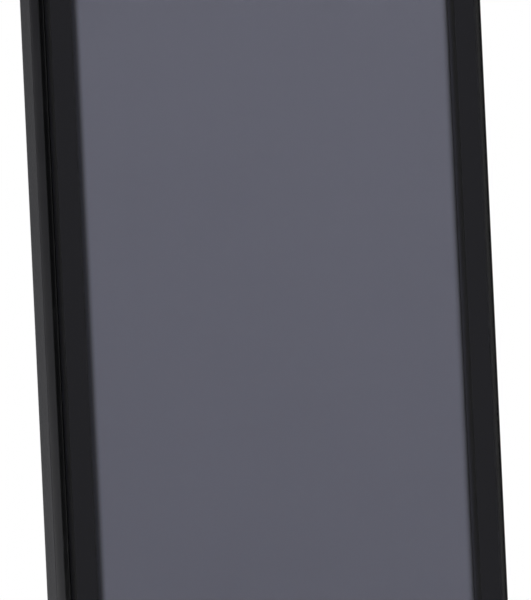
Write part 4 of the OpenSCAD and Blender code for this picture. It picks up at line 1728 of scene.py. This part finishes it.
@dataclass
class Lamp:
    """A soft square light, aimed at the phone's middle and unseen by the camera."""

    name: str
    azimuth: float
    elevation: float
    distance: float
    size: float
    watts: float

    def hang(self, target: Vector) -> None:
        """Puts the light in the scene.

        Args:
            target: The point that it faces.
        """
        turn, lift = math.radians(self.azimuth), math.radians(self.elevation)
        away = Vector((math.sin(turn) * math.cos(lift), -math.cos(turn) * math.cos(lift), math.sin(lift)))
        light = bpy.data.lights.new(self.name, "AREA")
        light.shape, light.size, light.energy = "SQUARE", self.size, self.watts
        holder = bpy.data.objects.new(self.name, light)
        holder.location = target + away * self.distance
        holder.rotation_mode = "QUATERNION"
        holder.rotation_quaternion = (-away).to_track_quat("-Z", "Y")
        holder.visible_camera = False
        bpy.context.scene.collection.objects.link(holder)


@dataclass
class Studio:
    """Camera, table, lights and surroundings."""

    yaw: float = -22.0
    roll: float = 2.65
    lens: float = 420.0
    view_height: float = 87.59 * MM
    shift_right: float = -0.088 * MM
    table_radius: float = 0.44
    horizon: tuple[tuple[float, float], ...] = (
        (-180, 0.85), (-172, 0.32), (-162, 0.07), (-148, 0.03), (-110, 0.02), (-40, 0.03), (-5, 0.10),
        (14, 0.30), (28, 0.335), (40, 0.55), (55, 0.35), (75, 0.08), (100, 0.10), (125, 0.6), (150, 1.0),
        (180, 1.0),
    )
    overhead: float = 0.35
    underfoot: float = 1.0
    lamps: tuple[Lamp, ...] = (
        Lamp("key_light", 25.0, 50.0, 1.3, 0.9, 19.5),
        Lamp("left_light", -60.0, 55.0, 1.3, 0.8, 2.0),
        Lamp("back_left_light", -168.0, 42.0, 1.4, 0.8, 7.0),
        Lamp("back_right_light", 150.0, 40.0, 1.5, 1.0, 9.0),
    )

    def camera(self, middle: Vector) -> None:
        """Sets the camera level with the phone's middle, turned by the yaw and rolled.

        Args:
            middle: The middle of the phone's box.
        """
        data = bpy.data.cameras.new("camera")
        data.lens = self.lens
        distance = self.view_height * self.lens / data.sensor_width
        data.clip_start, data.clip_end = 0.05, 20.0
        holder = bpy.data.objects.new("camera", data)
        turn = math.radians(self.yaw)
        back = Vector((math.sin(turn), -math.cos(turn), 0.0))
        right = Vector((math.cos(turn), math.sin(turn), 0.0))
        holder.rotation_mode = "QUATERNION"
        facing = (-back).to_track_quat("-Z", "Y")
        roll = Quaternion((0.0, 0.0, 1.0), math.radians(-self.roll))
        holder.rotation_quaternion = facing @ roll
        holder.location = middle + back * distance + right * self.shift_right
        bpy.context.scene.collection.objects.link(holder)
        bpy.context.scene.camera = holder

    def table(self) -> None:
        """A pale round table top with its face at the height of the phone's foot."""
        drop = 6 * MM
        corners = [(0, -drop, 0), (self.table_radius, -drop, MM), (self.table_radius, 0, 2 * MM), (0, 0, 0)]
        disc = turned(filleted(corners, False), False, 128)
        top = bpy.data.objects.new("table", made_mesh("table", disc, Plane.END))
        bpy.context.scene.collection.objects.link(top)
        top.data.materials.append(TableTop("table_white").material())

    def surroundings(self) -> None:
        """White behind, as the camera sees it; for other rays, dark on the left and light on the right."""
        world = bpy.data.worlds.new("studio")
        world.use_nodes = True
        bpy.context.scene.world = world
        sheet = Sheet(world.node_tree)
        direction = sheet.node("ShaderNodeTexCoord", out="Generated")
        across, depth, up = sheet.split(direction)
        bearing = sheet.maths("ARCTAN2", across, 0.0 - depth) / (2 * math.pi) + 0.5
        stops = [(0.5 + turn / 360, (level, level, level)) for turn, level in self.horizon]
        horizon = sheet.node("ShaderNodeValToRGB", {"stops": stops}, {"Fac": bearing})
        overhead = abs(up).over(0.45, 0.9)
        below = (0.0 - up).over(0.045, 0.085)
        aside = (overhead + below).least(1.0)
        glow = horizon * (1.0 - aside) + overhead * self.overhead + below * self.underfoot
        seen = sheet.node("ShaderNodeLightPath", out="Is Camera Ray")
        strength = seen * 1.0 + (1.0 - seen) * glow
        light = sheet.node("ShaderNodeBackground", {}, {"Color": (*WHITE, 1.0), "Strength": strength})
        sheet.node("ShaderNodeOutputWorld", values={"Surface": light})

    def build(self) -> None:
        """Sets the view, then the table, the lights and the surroundings."""
        middle = (CAD_BOX[0] + CAD_BOX[1]) / 2
        self.camera(Vector((0.0, 0.0, middle.z)))
        self.table()
        self.surroundings()
        for lamp in self.lamps:
            lamp.hang(Vector((0.0, 0.0, middle.z)))
        bpy.context.scene.view_settings.view_transform = "Standard"


def main() -> None:
    """Builds the studio, then the phone from its screen to its sockets."""
    logging.basicConfig(level=logging.INFO, format="%(message)s")
    Studio().build()
    case = Case()
    for assembly in (ScreenStack, BezelRing, SideBand, BackShell, SideKeys):
        assembly(case).build()
    CardTray().build()
    RearCamera().build()
    FrontSensors().build()
    Sockets(case).build()
    Insides().build()


if __name__ == "__main__":
    main()
